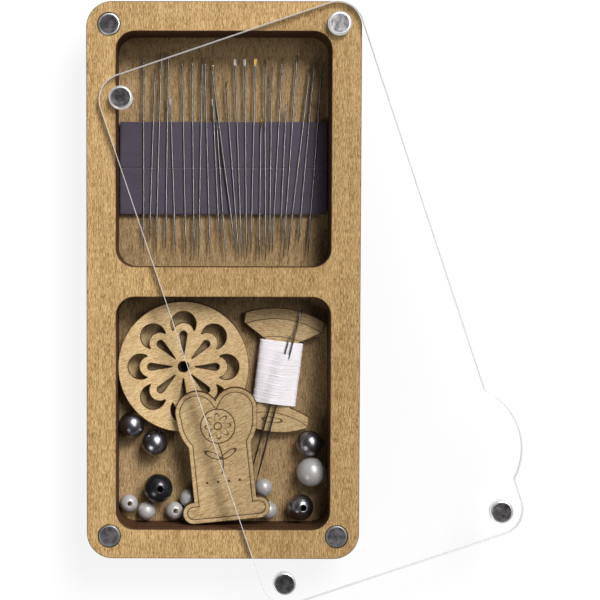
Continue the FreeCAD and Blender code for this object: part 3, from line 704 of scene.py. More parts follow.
def plywood(name, pale, dark, grain, engraving=None):
    """Plywood: streaks, fine fibres and short dark and pale flecks along the grain, scorched at the cuts."""
    angle, seed = grain
    scorched = sizes("colours").scorched
    material, shader, shade = finish(name, {"Specular IOR Level": 0.25})
    along = place_of(shade, (seed, seed * 3, 0), math.radians(angle))
    streaks = along.stretched(0.55, 0.03, 0.4).noise(4, 0.6)
    fibres = along.stretched(4.4, 0.26, 2.0).noise(4, 0.65)
    fine = along.stretched(6.6, 0.9, 4.0).noise(3, 0.7)
    tone = (streaks - 0.5) * 0.9 + (fibres - 0.5) * 3.3 + (fine - 0.5) * 4.2 + 0.48
    wood = tone.mix(pale, dark)
    pores = along.stretched(4.8, 0.4, 2.0).noise(3, 0.6).rise(0.57, 0.7)
    wood = (pores * 0.66).mix(wood, 0.4 * dark)
    lights = along.stretched(5.4, 0.5, 3.0).noise(3, 0.6).rise(0.57, 0.72)
    wood = (lights * 0.72).mix(wood, np.minimum(1, 1.25 * pale + 0.05))
    height = fibres * 0.6 + fine * 0.4 - pores * 0.5
    mark = mark_of(shade)
    if engraving:
        drawn = engraving(shade)
        wood = (drawn * 0.9).mix(wood, 0.8 * scorched)
        height = height - drawn * 3
    place = place_of(shade)
    ragged = place.stretched(1.6, 1.6, 1.6).noise(3, 0.6)
    burn = (mark + (ragged - 0.5) * 0.7 * mark).rise(0.12, 0.95)
    saw = place.stretched(3.2, 3.2, 0.18).noise(3, 0.6)
    _, _, level = place.parts()
    veneer = level.folded(2.0).rise(0.5, 1.0)
    soot = (saw * 0.7 + veneer * 0.35).mix(0.3 * scorched, 2.2 * scorched)
    burn.mix(wood, soot).feed(shader, "Base Color")
    (0.56 + fibres * 0.25).feed(shader, "Roughness")
    (height + saw * mark).bump(0.35, 0.06).feed(shader, "Normal")
    return material


def nickel(name, tint, haze=0.2, edge=0.82):
    """Nickel plating: cloudy tone, fine scratches both ways and a rim tinted lighter, a painted highlight,
    marked by the profile.
    """
    material, shader, shade = finish(name, {"Metallic": 1.0})
    place = place_of(shade)
    cloud = place.stretched(0.7, 0.7, 0.7).noise(3, 0.6)
    scratch = place.stretched(9, 0.6, 1).noise(2, 0.6) * place.stretched(0.8, 10, 1).noise(2, 0.6)
    specks = place.stretched(4, 4, 4).noise(2, 0.5).rise(0.6, 0.75)
    face = ((cloud - 0.5) * 2.4 + scratch * 1.4 + specks * 0.5).mix(0.45 * tint, 1.4 * tint)
    rim = mark_of(shade)
    # Painted highlight: the rim's colour is lighter than the face's
    rim.rise(0.2, 0.9).mix(face, (edge, edge, edge)).feed(shader, "Base Color")
    (haze + cloud * 0.12 + rim * 0.12).feed(shader, "Roughness")
    (scratch + cloud * 0.4).bump(0.2, 0.02).feed(shader, "Normal")
    return material


def acrylic():
    """Clear acrylic: see-through faces with a faint gloss by Fresnel, and pale edges glowing with painted
    light.
    """
    # Painted light: the edges' pale colour and emission keep them glowing though they are no lamp
    constants = {"Roughness": 0.06, "Base Color": (0.44, 0.45, 0.44, 1), "Specular IOR Level": 0.6,
                 "Emission Strength": 0.28, "Emission Color": (1, 0.98, 0.97, 1)}
    material, shader, shade = finish("clear_acrylic", constants)
    haze = place_of(shade).stretched(0.12, 0.12, 0.12).noise(2, 0.5)
    edge = mark_of(shade).rise(0.08, 0.6)
    gloss = shade.add("ShaderNodeFresnel", None, {"IOR": 1.49})
    clear = shade.add("ShaderNodeBsdfTransparent", None, {"Color": (1, 1, 1, 1)})
    shine = shade.add("ShaderNodeBsdfGlossy", None, {"Roughness": 0.05})
    face = (gloss * 0.35 - 0.012 + haze * 0.006).clamp().blend(clear, shine)
    whole = (edge * 0.85).clamp().blend(face, Shade(shade.tree, shader.outputs[0]))
    whole.feed(shade.tree.nodes["Material Output"], "Surface")
    return material


def strip_seam():
    """Where the two strips meet, along the box."""
    return (node_box("needle_strip_rear")[0][1] + node_box("needle_strip_front")[1][1]) / 2


def rubber():
    """Magnetic rubber: matt, with fine grit, faint rolling lines along the strip, a little bloom, and a
    lighter line along the seam, a painted highlight of the strips' edges.
    """
    material, shader, shade = finish("magnet_strip", {"Specular IOR Level": 0.3})
    place = place_of(shade)
    grit = place.stretched(7, 7, 7).noise(3, 0.65)
    lines = place.stretched(0.05, 3.0, 1).noise(2, 0.5)
    bloom = place.stretched(0.16, 0.16, 0.16).noise(3, 0.6)
    base = sizes("colours").rubber
    tone = (grit - 0.5) * 1.2 + (lines - 0.5) * 0.6 + (bloom - 0.5) * 0.7 + 0.5
    _, along, _ = place.parts()
    # Painted highlight: a lighter line where the two strips' edges meet
    painted_light = line_along(along - strip_seam(), sizes("needles").seam) * (0.5 + grit * 0.8)
    tone = tone.mix(0.72 * base, 1.3 * base)
    painted_light.mix(tone, (0.2, 0.2, 0.21)).feed(shader, "Base Color")
    (0.62 + grit * 0.25).feed(shader, "Roughness")
    (grit + lines * 0.5).bump(0.3, 0.03).feed(shader, "Normal")
    return material


def needle_steel():
    """Polished steel with draw lines along the needle; the marked eyes are gilt."""
    tones = sizes("colours")
    material, shader, shade = finish("needle_steel", {"Metallic": 1.0})
    drawn = place_of(shade).stretched(3, 0.3, 3).noise(3, 0.6)
    steel = drawn.mix(0.85 * tones.steel, 1.1 * tones.steel)
    mark_of(shade).mix(steel, tones.gilt).feed(shader, "Base Color")
    (0.1 + drawn * 0.08).feed(shader, "Roughness")
    return material


def cotton():
    """Sewing thread: twisted plies along each strand, soft tone changes between strands and a matt fuzz."""
    constants = {"Roughness": 0.85, "Sheen Weight": 0.5, "Specular IOR Level": 0.15}
    material, shader, shade = finish("white_thread", constants)
    tint = sizes("colours").thread
    place = place_of(shade, (0, 0, 0), sizes("contents").spool_turn)
    plies = place.stretched(7, 2.5, 7).noise(2, 0.5)
    strands = place.stretched(0.12, 3.4, 0.2).noise(2, 0.6)
    tone = (plies - 0.5) * 0.9 + (strands - 0.5) * 1.3 + 0.5
    tone.mix(0.92 * tint, np.minimum(1, 1.03 * tint)).feed(shader, "Base Color")
    plies.bump(0.4, 0.05).feed(shader, "Normal")
    return material


def bead_finish(name, base, constants, depth, hole, painted_glow=None):
    """Bead coat: faint clouds under a clear gloss, darker in the hole, with painted light glowing there
    where it is given.
    """
    material, shader, shade = finish(name, constants)
    place = place_of(shade)
    cloud = place.stretched(0.45, 0.45, 0.45).noise(3, 0.55)
    ripple = place.stretched(2.2, 2.2, 2.2).noise(2, 0.5)
    coat = ((cloud - 0.5) * 1.2 + 0.5).mix((1 - depth) * base, np.minimum(1, (1 + depth) * base))
    mark_of(shade).rise(0.2, 0.9).mix(coat, hole * base).feed(shader, "Base Color")
    # Painted light: the hole glows as if lit through the pearl
    if painted_glow:
        mark_of(shade).rise(0.5, 1.0).mix((0, 0, 0), painted_glow).feed(shader, "Emission Color")
    (constants["Roughness"] + (ripple - 0.5) * 0.08).feed(shader, "Roughness")
    ripple.bump(0.05, 0.04).feed(shader, "Normal")
    return material


# Operators, one for each piece or group of like pieces, with the shapes that they make


def magnet_hole(node):
    """Loop of the hole round a magnet, with its gap."""
    low, high = node_box(node)
    return circle(((low + high) / 2)[:2], (high - low)[0] / 2 + sizes("box").magnet_gap)


def window_loops():
    """Loops of the two windows of a frame, one over each compartment."""
    size = sizes("box")
    low, high = node_box("base_panel")
    inner_low, inner_high = low[:2] + size.wall, high[:2] - size.wall
    rear = rounded_rectangle((inner_low[0], size.divider / 2), inner_high, size.inner_radius)
    front = rounded_rectangle(inner_low, (inner_high[0], -size.divider / 2), size.inner_radius)
    return [rear, front]


class BOBBINBOX_OT_plywood_box(bpy.types.Operator):
    """Base panel and three window frames of the box, cut from plywood."""

    bl_idname = "bobbin_box.plywood_box"
    bl_label = "Plywood box"

    def execute(self, context):
        size = sizes("box")
        tones = sizes("colours")
        outline = rounded_rectangle(*node_box("base_panel"), size.outer_radius)
        windows = window_loops()
        holes = [magnet_hole("box_magnet_" + corner) for corner in CORNERS]
        layers = {"base_panel": [outline], "lower_frame": [outline] + windows,
                  "middle_frame": [outline] + windows, "top_frame": [outline] + windows + holes}
        for index, (node, loops) in enumerate(layers.items()):
            tone = FLOOR_TONE if node == "base_panel" else 1.0
            grain = (0, BOX_SEED_STEP * index)
            wood = plywood("box_plywood_" + node, tone * tones.box_pale, tone * tones.box_dark, grain)
            low, high = node_box(node)
            shape = sheet_shape(loops, low[2], high[2], size.ply_edge, size.scorch)
            piece(node + "_sheet", shape, wood, "box", [node])
        return {"FINISHED"}


def magnet_shape(node):
    """Disc of a magnet in the place of its CAD node, with its rims marked.

    The profile runs out over the dished upper face, round the rim by a quarter circle, down the wall, round
    the lower rim and back to the middle. It is turned about the vertical.
    """
    size = sizes("box")
    edge, dish = size.magnet_edge, size.magnet_dish
    low, high = node_box(node)
    radius = (high - low)[0] / 2
    flat = radius * 0.6
    turn = np.radians(np.linspace(0, 90, 6))
    bend = edge * np.stack([np.sin(turn), np.cos(turn)], axis=1) + [radius - edge, high[2] - edge]
    foot = bend[::-1] * [1, -1] + [0, low[2] + high[2]]
    dished = [(0, high[2] - dish), (flat, high[2] - dish), (radius - 2 * edge, high[2] - dish / 3)]
    profile = np.concatenate([dished, bend, foot, [(flat, low[2]), (0, low[2])]])
    marks = np.where(profile[:, 0] > radius - 1.4 * edge, 1.0, 0.0)
    centre = ((low + high) / 2) * [1, 1, 0]
    return revolved_shape(profile, marks, MAGNET_SIDES, centre, (0, 0, 1))


class BOBBINBOX_OT_magnets(bpy.types.Operator):
    """Nickel-plated disc magnets of the box and of the lid, with rounded rims."""

    bl_idname = "bobbin_box.magnets"
    bl_label = "Magnets"

    def execute(self, context):
        tint = sizes("colours").nickel
        plain = nickel("magnet_nickel", tint)
        # Painted light: the pivot magnet's copy is tinted lighter as a painted reflection, and the front
        # magnets' copy darker with a dull rim as painted shade; all are the same nickel
        painted_bright = nickel("magnet_nickel_painted_bright", 1.08 * tint, haze=0.26)
        painted_light = nickel("magnet_nickel_painted_dull", 0.9 * tint, haze=0.32, edge=0.36)
        plating = {"lid_pivot_magnet": painted_bright, "box_magnet_front_left": painted_light, "box_magnet_front_right": painted_light}
        rides = {"box_magnet_" + corner: "box" for corner in CORNERS}
        rides["lid_pivot_magnet"] = "lid_pivot"
        rides.update({node: "lid" for node in LID_MAGNETS})
        for node, body in rides.items():
            coat = plating.get(node, plain)
            piece(node + "_disc", magnet_shape(node), coat, body, [node])
        return {"FINISHED"}


def lid_outline(low, high):
    """Outline of the closed lid: that of the box between two corners, with a thumb tab on its right edge.

    The tab is a circle's bow. On each side a fillet circle touches the bow and the long edge, and its arc
    runs from the edge to where the line between the two centres meets the bow.
    """
    size = sizes("box")
    edge = high[0]
    bow = bow_radius(size.tab_width, size.tab_height)
    bow_centre = edge + size.tab_height - bow
    reach = bow + size.tab_fillet
    offset = math.sqrt(reach ** 2 - (edge + size.tab_fillet - bow_centre) ** 2)
    fillet = np.array([edge + size.tab_fillet, offset])
    touch = np.array([bow_centre, 0]) + bow / reach * (fillet - [bow_centre, 0])
    between = np.array([edge, offset]) + touch - 2 * fillet
    mid = fillet + size.tab_fillet * between / np.linalg.norm(between)
    flip = np.array([1, -1])
    tab = np.concatenate([
        arc((edge, -offset), mid * flip, touch * flip),
        arc(touch * flip, (edge + size.tab_height, 0), touch),
        arc(touch, mid, (edge, offset)),
        corners((edge, offset)),
    ])
    plain = rounded_rectangle(low, high, size.outer_radius)
    corner = len(plain) // 4
    return np.concatenate([plain[:corner], tab + [0, low[1] + size.tab_centre], plain[corner:]])


class BOBBINBOX_OT_lid(bpy.types.Operator):
    """Clear acrylic lid with its thumb tab and magnet holes, swung open on its joint."""

    bl_idname = "bobbin_box.lid"
    bl_label = "Lid"

    def execute(self, context):
        size = sizes("box")
        joint = next(j for j in frame["joints"] if j["name"] == "lid_swivel")
        pivot = np.array(joint["pos_m"][:2]) / MM
        opening = -math.radians(joint["range_deg"][0])
        outline = turned(lid_outline(*node_box("base_panel")), opening, pivot)
        holes = [magnet_hole(node) for node in ("lid_pivot_magnet", *LID_MAGNETS)]
        low, high = node_box("lid_panel")
        shape = sheet_shape([outline] + holes, low[2], high[2], size.lid_edge, size.lid_rim)
        piece("lid_sheet", shape, acrylic(), "lid", ["lid_panel"])
        return {"FINISHED"}


class BOBBINBOX_OT_needle_strips(bpy.types.Operator):
    """Two strips of magnetic rubber on the floor of the rear compartment."""

    bl_idname = "bobbin_box.needle_strips"
    bl_label = "Needle strips"

    def execute(self, context):
        size = sizes("needles")
        material = rubber()
        for node in ("needle_strip_rear", "needle_strip_front"):
            low, high = node_box(node)
            outline = rounded_rectangle(low, high, size.strip_corner)
            shape = sheet_shape([outline], low[2], high[2], size.strip_edge, size.strip_rim)
            piece(node + "_rubber", shape, material, "box", [node])
        return {"FINISHED"}


def needle_shapes(eyes, tips, rolls, gilt):
    """Needles from eye end to tip: a round shaft that tapers to its point, and an eye.

    The shaft is a tube whose radius falls to nothing over the taper. The eye is a thin tube carried round a
    slot with round ends, in a plane that is rolled about the shaft.
    """
    size = sizes("needles")
    radius = size.diameter / 2
    wire = (size.diameter - size.eye_width) / 4 + EYE_SWELL
    half = (size.eye_width + 2 * wire) / 2
    parts = []
    for eye, tip, roll, gold in zip(np.array(eyes, float), np.array(tips, float), rolls, gilt):
        span = np.linalg.norm(tip - eye)
        way = (tip - eye) / span
        side = np.cross(way, (0, 0, 1))
        side /= np.linalg.norm(side)
        up = np.cross(side, way)
        across = math.cos(roll) * side + math.sin(roll) * up
        stem = size.eye_length + 3 * wire
        taper = np.linspace(0, 1, TAPER_STEPS)
        along = np.concatenate([[stem - 0.3, stem - 0.3, stem + 0.35],
                                span - size.taper * (1 - taper), [span]])
        share = np.concatenate([[0, 0.7, 1], (1 - taper ** 1.6) * 0.9 + 0.1, [0]])
        path = eye + (along + APART * np.arange(len(along)))[:, None] * way
        parts.append(tube_shape(path, np.broadcast_to(up, path.shape), radius * share, NEEDLE_SIDES))
        turn = 2 * math.pi * np.arange(EYE_STEPS) / EYE_STEPS
        straight = size.eye_length / 2 * np.sign(np.cos(turn)) * np.minimum(1, 3 * np.abs(np.cos(turn)))
        run = stem / 2 + straight + half * np.cos(turn) * 0.9
        wide = half * np.sign(np.sin(turn)) * np.minimum(1, np.abs(np.sin(turn)) ** 0.8 * 1.15)
        loop = eye + (run[:, None] + wire / 2) * way + wide[:, None] * across
        normal = np.broadcast_to(np.cross(way, across), loop.shape)
        points, faces, marks = tube_shape(loop, normal, np.full(len(loop), wire), EYE_SIDES, closed=True)
        parts.append((points, faces, marks + gold))
    return joined(parts)


class BOBBINBOX_OT_needles(bpy.types.Operator):
    """Needles across the magnetic strips, and the two needles held on the spool."""

    bl_idname = "bobbin_box.needles"
    bl_label = "Needles"

    def execute(self, context):
        size = sizes("needles")
        box = sizes("box")
        steel = needle_steel()
        row = np.array(NEEDLE_ROW)
        low, high = node_box("base_panel")
        seam = strip_seam()
        level = node_box("needle_strip_rear")[1][2] + NEEDLE_CLEARANCE + size.diameter / 2
        middle = low[0] + box.wall + size.left_margin + size.spacing * np.arange(len(row)) + row[:, 0]
        rear = high[1] - box.wall - row[:, 2]
        front = box.divider / 2 + row[:, 3]
        slope = np.tan(np.radians(row[:, 1]))
        eyes = np.stack([middle + (rear - seam) * slope, rear, level + row[:, 4]], axis=1)
        tips = np.stack([middle + (front - seam) * slope, front, np.full(len(row), level)], axis=1)
        rolls = 0.7 * np.sin(5.1 * np.arange(len(row)))
        gilt = np.isin(np.arange(len(row)), GILT_EYES).astype(float)
        lying = needle_shapes(eyes, tips, rolls, gilt)
        piece("needle_row", lying, steel, "box", ["sewing_needles"])
        angle, centre, _ = spool_place()
        lift = (node_box("spool_needles")[0][2] + node_box("spool_needles")[1][2]) / 2
        ends = []
        for end in range(2):
            flat = turned([needle[end] for needle in SPOOL_NEEDLES], angle) + centre[:2]
            ends.append(np.column_stack([flat, np.full(len(flat), lift)]))
        held = needle_shapes(ends[0], ends[1], HELD_ROLLS, (0, 0))
        piece("held_needles", held, steel, "box", ["spool_needles"])
        return {"FINISHED"}


def rosette_loops(size, outer):
    """Cut-outs of the pierced flange: petals and crescents round a centre, with ends rounded by the kerf.

    A crescent is a disc less a smaller disc set inwards; each tip is a small circle that touches both.
    A petal is a round end joined by its tangents to a point.
    """
    kerf = size.kerf
    disc = outer - size.rim - size.crescent
    bite = disc - size.bite_offset
    far, near = size.crescent - kerf, size.bite + kerf
    back = (far ** 2 - near ** 2 + size.bite_offset ** 2) / (2 * size.bite_offset)
    tip = np.array([math.sqrt(far ** 2 - back ** 2), disc - back])
    out = (tip - [0, disc]) / far
    inward = (tip - [0, bite]) / near
    beyond = (out - inward) / np.linalg.norm(out - inward)
    flip = np.array([-1, 1])
    outside, inside, end = tip + kerf * out, tip - kerf * inward, tip + kerf * beyond
    crescent = np.concatenate([
        arc(outside, (0, disc + size.crescent), outside * flip),
        arc(outside * flip, end * flip, inside * flip),
        arc(inside * flip, (0, bite + size.bite), inside),
        arc(inside, end, outside),
    ])
    radius = size.petal_width / 2
    petal_end = bite + size.bite - size.bridge
    round_centre = petal_end - radius
    reach = size.petal_length - radius
    sine = radius / reach
    point_centre = petal_end - size.petal_length + kerf / sine
    side = np.array([math.sqrt(1 - sine ** 2), -sine])
    high = np.array([0, round_centre]) + radius * side
    low = np.array([0, point_centre]) + kerf * side
    petal = np.concatenate([arc(high, (0, petal_end), high * flip), corners(high * flip),
                            arc(low * flip, (0, point_centre - kerf), low), corners(low)])
    turns = 2 * math.pi * np.arange(size.rosette_count) / size.rosette_count
    return [turned(form, turn) for turn in turns for form in (crescent, petal)]


class BOBBINBOX_OT_bobbin(bpy.types.Operator):
    """Bobbin of two plywood flanges on a core; the upper flange is pierced with a rosette."""

    bl_idname = "bobbin_box.bobbin"
    bl_label = "Bobbin"

    def execute(self, context):
        size = sizes("contents")
        edge = sizes("box").ply_edge
        tones = sizes("colours")
        low, high = node_box("bobbin_top_flange")
        centre = ((low + high) / 2)[:2]
        outer = (high - low)[0] / 2
        hole = circle(centre, size.hole / 2)
        pierced = [loop + centre for loop in rosette_loops(size, outer)]
        core_low, core_high = node_box("bobbin_core")
        core = (core_high - core_low)[0]
        layers = {"bobbin_top_flange": [circle(centre, outer), hole] + pierced,
                  "bobbin_core": [circle(centre, core / 2), hole],
                  "bobbin_bottom_flange": [circle(centre, outer), hole]}
        for node, loops in layers.items():
            low, high = node_box(node)
            # Painted light and shade: the upper flange is lightened and the core darkened
            pale, dark = BOBBIN_PAINTED_LIGHT[node] * tones.card_pale, BOBBIN_PAINTED_LIGHT[node] * tones.card_dark
            wood = plywood("card_plywood_" + node, pale, dark, CARD_GRAIN[node])
            shape = sheet_shape(loops, low[2], high[2], edge, size.card_scorch)
            piece(node + "_sheet", shape, wood, "box", [node])
        return {"FINISHED"}


def spool_levels(size):
    """Levels along the spool card: the foot's two corners, the waist's end and the head's two corners."""
    waist = size.waist_length / 2
    foot_high = -waist - size.crown
    head_low = waist + size.spool_taper
    return foot_high - size.flange_edge, foot_high, waist, head_low, head_low + size.flange_edge


def spool_outline():
    """Outline of the spool card: bowed head, taper, straight waist, and a foot that is bowed both ways."""
    size = sizes("contents")
    foot_low, foot_high, waist, head_low, head_high = spool_levels(size)
    head, foot, neck = size.spool_head / 2, size.spool_foot / 2, size.spool_waist / 2
    bow = bow_radius(size.spool_foot, size.crown)
    meet = foot_high + size.crown - bow + math.sqrt(bow ** 2 - neck ** 2)
    share = foot * 0.75
    part = foot_high + size.crown - bow + math.sqrt(bow ** 2 - share ** 2)
    return np.concatenate([
        arc((head, head_high), (0, head_high + size.crown), (-head, head_high)),
        corners((-head, head_high), (-head, head_low), (-neck, waist)),
        arc((-neck, meet), (-share, part), (-foot, foot_high)), corners((-foot, foot_high)),
        arc((-foot, foot_low), (0, foot_low - size.crown), (foot, foot_low)), corners((foot, foot_low)),
        arc((foot, foot_high), (share, part), (neck, meet)),
        corners((neck, meet), (neck, waist), (head, head_low)),
    ])


def spool_place():
    """Angle and place of the spool card's own origin, and its outline in place, from its CAD node."""
    angle = sizes("contents").spool_turn
    outline = turned(spool_outline(), angle)
    low, high = node_box("spool_card")
    centre = np.append(((low + high) / 2)[:2] - middle_of(outline), ((low + high) / 2)[2])
    return angle, centre, outline + centre[:2]


def spool_lines(shade, centre, angle):
    """Drawing on the spool card: arcs along head and foot and an ellipse, by distances in the plane."""
    size = sizes("contents")
    lines = SPOOL_DRAWING
    _, foot_high, _, _, head_high = spool_levels(size)
    head_bow = bow_radius(size.spool_head, size.crown)
    foot_bow = bow_radius(size.spool_foot, size.crown)
    x, y, _ = place_of(shade, centre, angle).parts()
    from_head = distance(x, y - (head_high + size.crown - head_bow))
    from_foot = distance(x, y - (foot_high + size.crown - foot_bow))
    edge = head_bow - lines.head
    above = past(y, lines.head_end)
    head_line = line_along(from_head - edge, lines.head_line) * above
    neck_line = line_along(from_head - (head_bow - lines.neck), lines.neck_line) * past(y, lines.neck_end)
    foot_line = line_along(from_foot - (foot_bow - lines.foot), lines.foot_line)
    foot_line = foot_line * (1 - past(y, lines.foot_end))
    around = distance(x / lines.eye_half[0], (y - lines.eye_middle) / lines.eye_half[1])
    eye = line_along(around - 1, lines.eye_line)
    band = from_head.rise(edge, edge + SOFT_END) * above
    return (head_line + neck_line + foot_line + eye + band * lines.band_tint).clamp()


class BOBBINBOX_OT_spool_card(bpy.types.Operator):
    """Thread card cut to the outline of a spool, with engraved lines on head and foot."""

    bl_idname = "bobbin_box.spool_card"
    bl_label = "Spool card"

    def execute(self, context):
        size = sizes("contents")
        tones = sizes("colours")
        angle, centre, outline = spool_place()
        wood = plywood("card_plywood_spool", tones.card_pale, tones.card_dark, CARD_GRAIN["spool"],
                       lambda shade: spool_lines(shade, centre, angle))
        low, high = node_box("spool_card")
        shape = sheet_shape([outline], low[2], high[2], sizes("box").ply_edge, size.card_scorch)
        piece("spool_card_sheet", shape, wood, "box", ["spool_card"])
        return {"FINISHED"}


def wound_section(halves):
    """Closed section of the winding from its half sizes: a superellipse, x = a cos^p and z = b sin^p."""
    swing = np.linspace(0, 2 * math.pi, SECTION_STEPS)
    around = np.stack([np.cos(swing), np.sin(swing)], axis=1)
    return halves * np.sign(around) * np.abs(around) ** WINDING.power


def core_shape(halves, waist, reach):
    """Solid core under the strands: their section carried along the waist, drawn in to it at both ends."""
    sunk, inner = waist - WINDING.sunk, halves - WINDING.below
    scale = np.array([sunk, inner, inner, sunk]) / halves
    levels = np.array([WINDING.sunk - reach, -reach, reach, reach - WINDING.sunk])
    rings = wound_section(halves)[None, :-1] * scale[:, None]
    level = np.broadcast_to(levels[:, None], rings.shape[:2])
    points = np.stack([rings[..., 0], level, rings[..., 1]], axis=-1).reshape(-1, 3)
    faces = outward(points, [grid_faces(len(levels), rings.shape[1], True, True)])
    return points, faces, np.zeros(len(points))


def strand_shape(halves, reach, strand, build, pitch, sway):
    """One layer of thread, a flattened tube along a helix on the section.

    The turn number gives the place round the section and, times the pitch, along the card, with two slow
    sines that make the turns uneven. The build sets the layer outwards. Over a needle the strand is raised
    in a tent, which is 1 less a power of the distance from the needle.
    """
    section = wound_section(halves)
    run = np.append(0, np.cumsum(np.linalg.norm(np.diff(section, axis=0), axis=1)))
    turns = (2 * reach - strand) / pitch
    turn = np.linspace(0, turns, int(turns * THREAD_STEPS))
    x, z = (np.interp((turn % 1) * run[-1], run, section[:, axis]) for axis in (0, 1))
    uneven = 0.035 * np.sin(2.3 * turn)
    stray = sway * np.sin(2 * math.pi * turn * 0.37 + 1.3 * np.sin(turn))
    y = -reach + strand / 2 + turn * pitch + uneven + stray
    y = np.clip(y, WINDING.margin - reach, reach - WINDING.margin)
    swell = 1 + build / np.hypot(x, z)
    x, z = x * swell, z * swell
    raised = np.zeros(len(turn))
    for eye, tip, cover in SPOOL_NEEDLES:
        line = eye[0] + (y - eye[1]) * (tip[0] - eye[0]) / (tip[1] - eye[1])
        tent = np.maximum(0, 1 - (np.abs(x - line) / WINDING.tent_half) ** 1.5)
        raised = np.maximum(raised, tent * np.clip((cover - y) / WINDING.tent_fade, 0, 1))
    z = z + np.where(z > 0, WINDING.tent_height * raised, 0)
    path = np.stack([x, y, z], axis=1)
    normal = np.stack([x / halves[0] ** 2, 0 * y, z / halves[1] ** 2], axis=1)
    radius = np.full(len(path), strand / 2)
    radius[[0, -1]] = 0
    return tube_shape(path, normal, radius, THREAD_SIDES, flat=WINDING.flat)


class BOBBINBOX_OT_spool_thread(bpy.types.Operator):
    """White sewing thread wound round the spool card and over its needles, a close layer and a loose one."""

    bl_idname = "bobbin_box.spool_thread"
    bl_label = "Spool thread"

    def execute(self, context):
        size = sizes("contents")
        angle, centre, _ = spool_place()
        low, high = node_box("spool_thread")
        card_low, card_high = node_box("spool_card")
        waist = np.array([size.spool_waist, (card_high - card_low)[2]]) / 2
        halves = np.array([waist[0] + size.wound, (high - low)[2] / 2]) - size.strand / 2
        reach = size.waist_length / 2 - WINDING.clear
        close_pitch = size.strand * WINDING.spread
        points, faces, marks = joined([
            core_shape(halves, waist, reach),
            strand_shape(halves, reach, size.strand, build=0.0, pitch=close_pitch, sway=0.0),
            strand_shape(halves, reach, size.strand, build=0.1, pitch=2.3, sway=0.3),
        ])
        wound = (turned(points, angle) + centre, faces, marks)
        nodes = ["spool_thread", "spool_thread_core"]
        piece("spool_thread_wound", wound, cotton(), "box", nodes)
        return {"FINISHED"}


def lobed_outline():
    """Outline of the lobed card: its right half and that half's mirror image."""
    right = np.concatenate([arc(*CARD_HEAD), arc(*CARD_SHOULDER), corners(*CARD_SIDE), arc(*CARD_FOOT),
                            corners(*CARD_BASE)])
    left = (right * [-1, 1])[::-1]
    return np.concatenate([right, left[1:-1]])


def leaned(points, tilt):
    """Points turned about the line across the box, the rear upwards."""
    cosine, sine = math.cos(tilt), math.sin(tilt)
    return points @ np.array([[1, 0, 0], [0, cosine, sine], [0, -sine, cosine]])


def daisy_lines(shade, middle, turn):
    """Drawing on the lobed card: a daisy in a ring, a stem with two leaves and a row of dots.

    Each line is where a distance in the plane is zero. The petals' radius is that of the heart plus the
    size of a cosine of the angle, the stem is a sine, and the dots' columns are folded onto one.
    """
    lines = CARD_DRAWING
    x, y, _ = place_of(shade, (*middle, 0), turn).parts()
    out = distance(x, y)
    swing = y.math("ARCTAN2", y, x) * (lines.petals / 2)
    bloom = lines.heart + lines.petal * abs(swing.math("COSINE", swing))
    petals = line_along(out - bloom, lines.petal_line)
    eye = line_along(out - lines.eye, lines.eye_line)
    ring = line_along(out - lines.ring, lines.ring_line)
    half = lines.dot_pitch / 2
    column = (x + 10 * lines.dot_pitch).folded(half) - half
    dot = distance(column, y - lines.dot_row)
    dots = (1 - dot.rise(*lines.dot_edge)) * (1 - past(abs(x), lines.dots_end))
    wave = y * lines.stem_wave
    stem = line_along(x - lines.stem_sway * wave.math("SINE", wave), lines.stem_line)
    stem = stem * (1 - past(y, lines.stem_top)) * past(y, lines.stem_foot)
    leaf_x = abs(x) - lines.leaf_middle[0]
    leaf_y = y - lines.leaf_middle[1] - abs(x) * lines.leaf_rise
    leaf = distance(leaf_x / lines.leaf_half[0], leaf_y / lines.leaf_half[1])
    leaves = line_along(leaf - 1, lines.stem_line)
    return (petals + eye + ring + dots + stem + leaves).clamp()


class BOBBINBOX_OT_lobed_card(bpy.types.Operator):
    """Second thread card with a two-lobed head, lying on the bobbin and the small pearls."""

    bl_idname = "bobbin_box.lobed_card"
    bl_label = "Lobed card"

    def execute(self, context):
        size = sizes("contents")
        tones = sizes("colours")
        bobbin_low, bobbin_high = node_box("bobbin_top_flange")
        pearl_low, pearl_high = node_box("small_pearl_6")
        tilt = math.atan2(bobbin_high[2] - pearl_high[2], bobbin_low[1] - (pearl_low + pearl_high)[1] / 2)
        outline = turned(lobed_outline(), size.card_turn)
        groove = (size.groove_inset, size.groove_half, size.groove_depth)
        points, faces, marks = sheet_shape([outline], 0, size.card_ply, sizes("box").ply_edge,
                                           size.card_scorch, groove)
        points = leaned(points, tilt)
        low, high = node_box("thread_card")
        shift = (low + high) / 2 - middle_of(points)
        middle = turned([(0.0, DAISY_HEIGHT)], size.card_turn)[0] + shift[:2]
        wood = plywood("card_plywood_lobed", tones.card_pale, tones.card_dark, CARD_GRAIN["lobed"],
                       lambda shade: daisy_lines(shade, middle, size.card_turn))
        placed = (points + shift, faces, marks)
        piece("lobed_card_sheet", placed, wood, "box", ["thread_card"])
        return {"FINISHED"}


def bead_shape(radius, bore, centre, axis):
    """Drilled ball, with its hole marked.

    The profile is an arc of the ball from one end of the hole to the other, a quarter circle into the hole,
    the bore and a quarter circle out. It is turned about the hole's axis.
    """
    lip = sizes("contents").bore_lip
    first = math.asin((bore / 2 + lip) / radius)
    turn = np.linspace(first, math.pi - first, BEAD_STEPS)
    ball = radius * np.stack([np.sin(turn), np.cos(turn)], axis=1)
    bend = np.radians([30, 60, 90])
    end = radius * math.cos(first) - lip
    upper = np.stack([bore / 2 + lip - lip * np.sin(bend), end + lip * np.cos(bend)], axis=1)
    profile = np.concatenate([ball, upper * [1, -1], upper[::-1]])
    marks = np.concatenate([np.zeros(len(ball)), [0.2, 0.6, 1], [1, 0.6, 0.2]])
    return revolved_shape(profile, marks, BEAD_SIDES, centre, axis, closed=True)


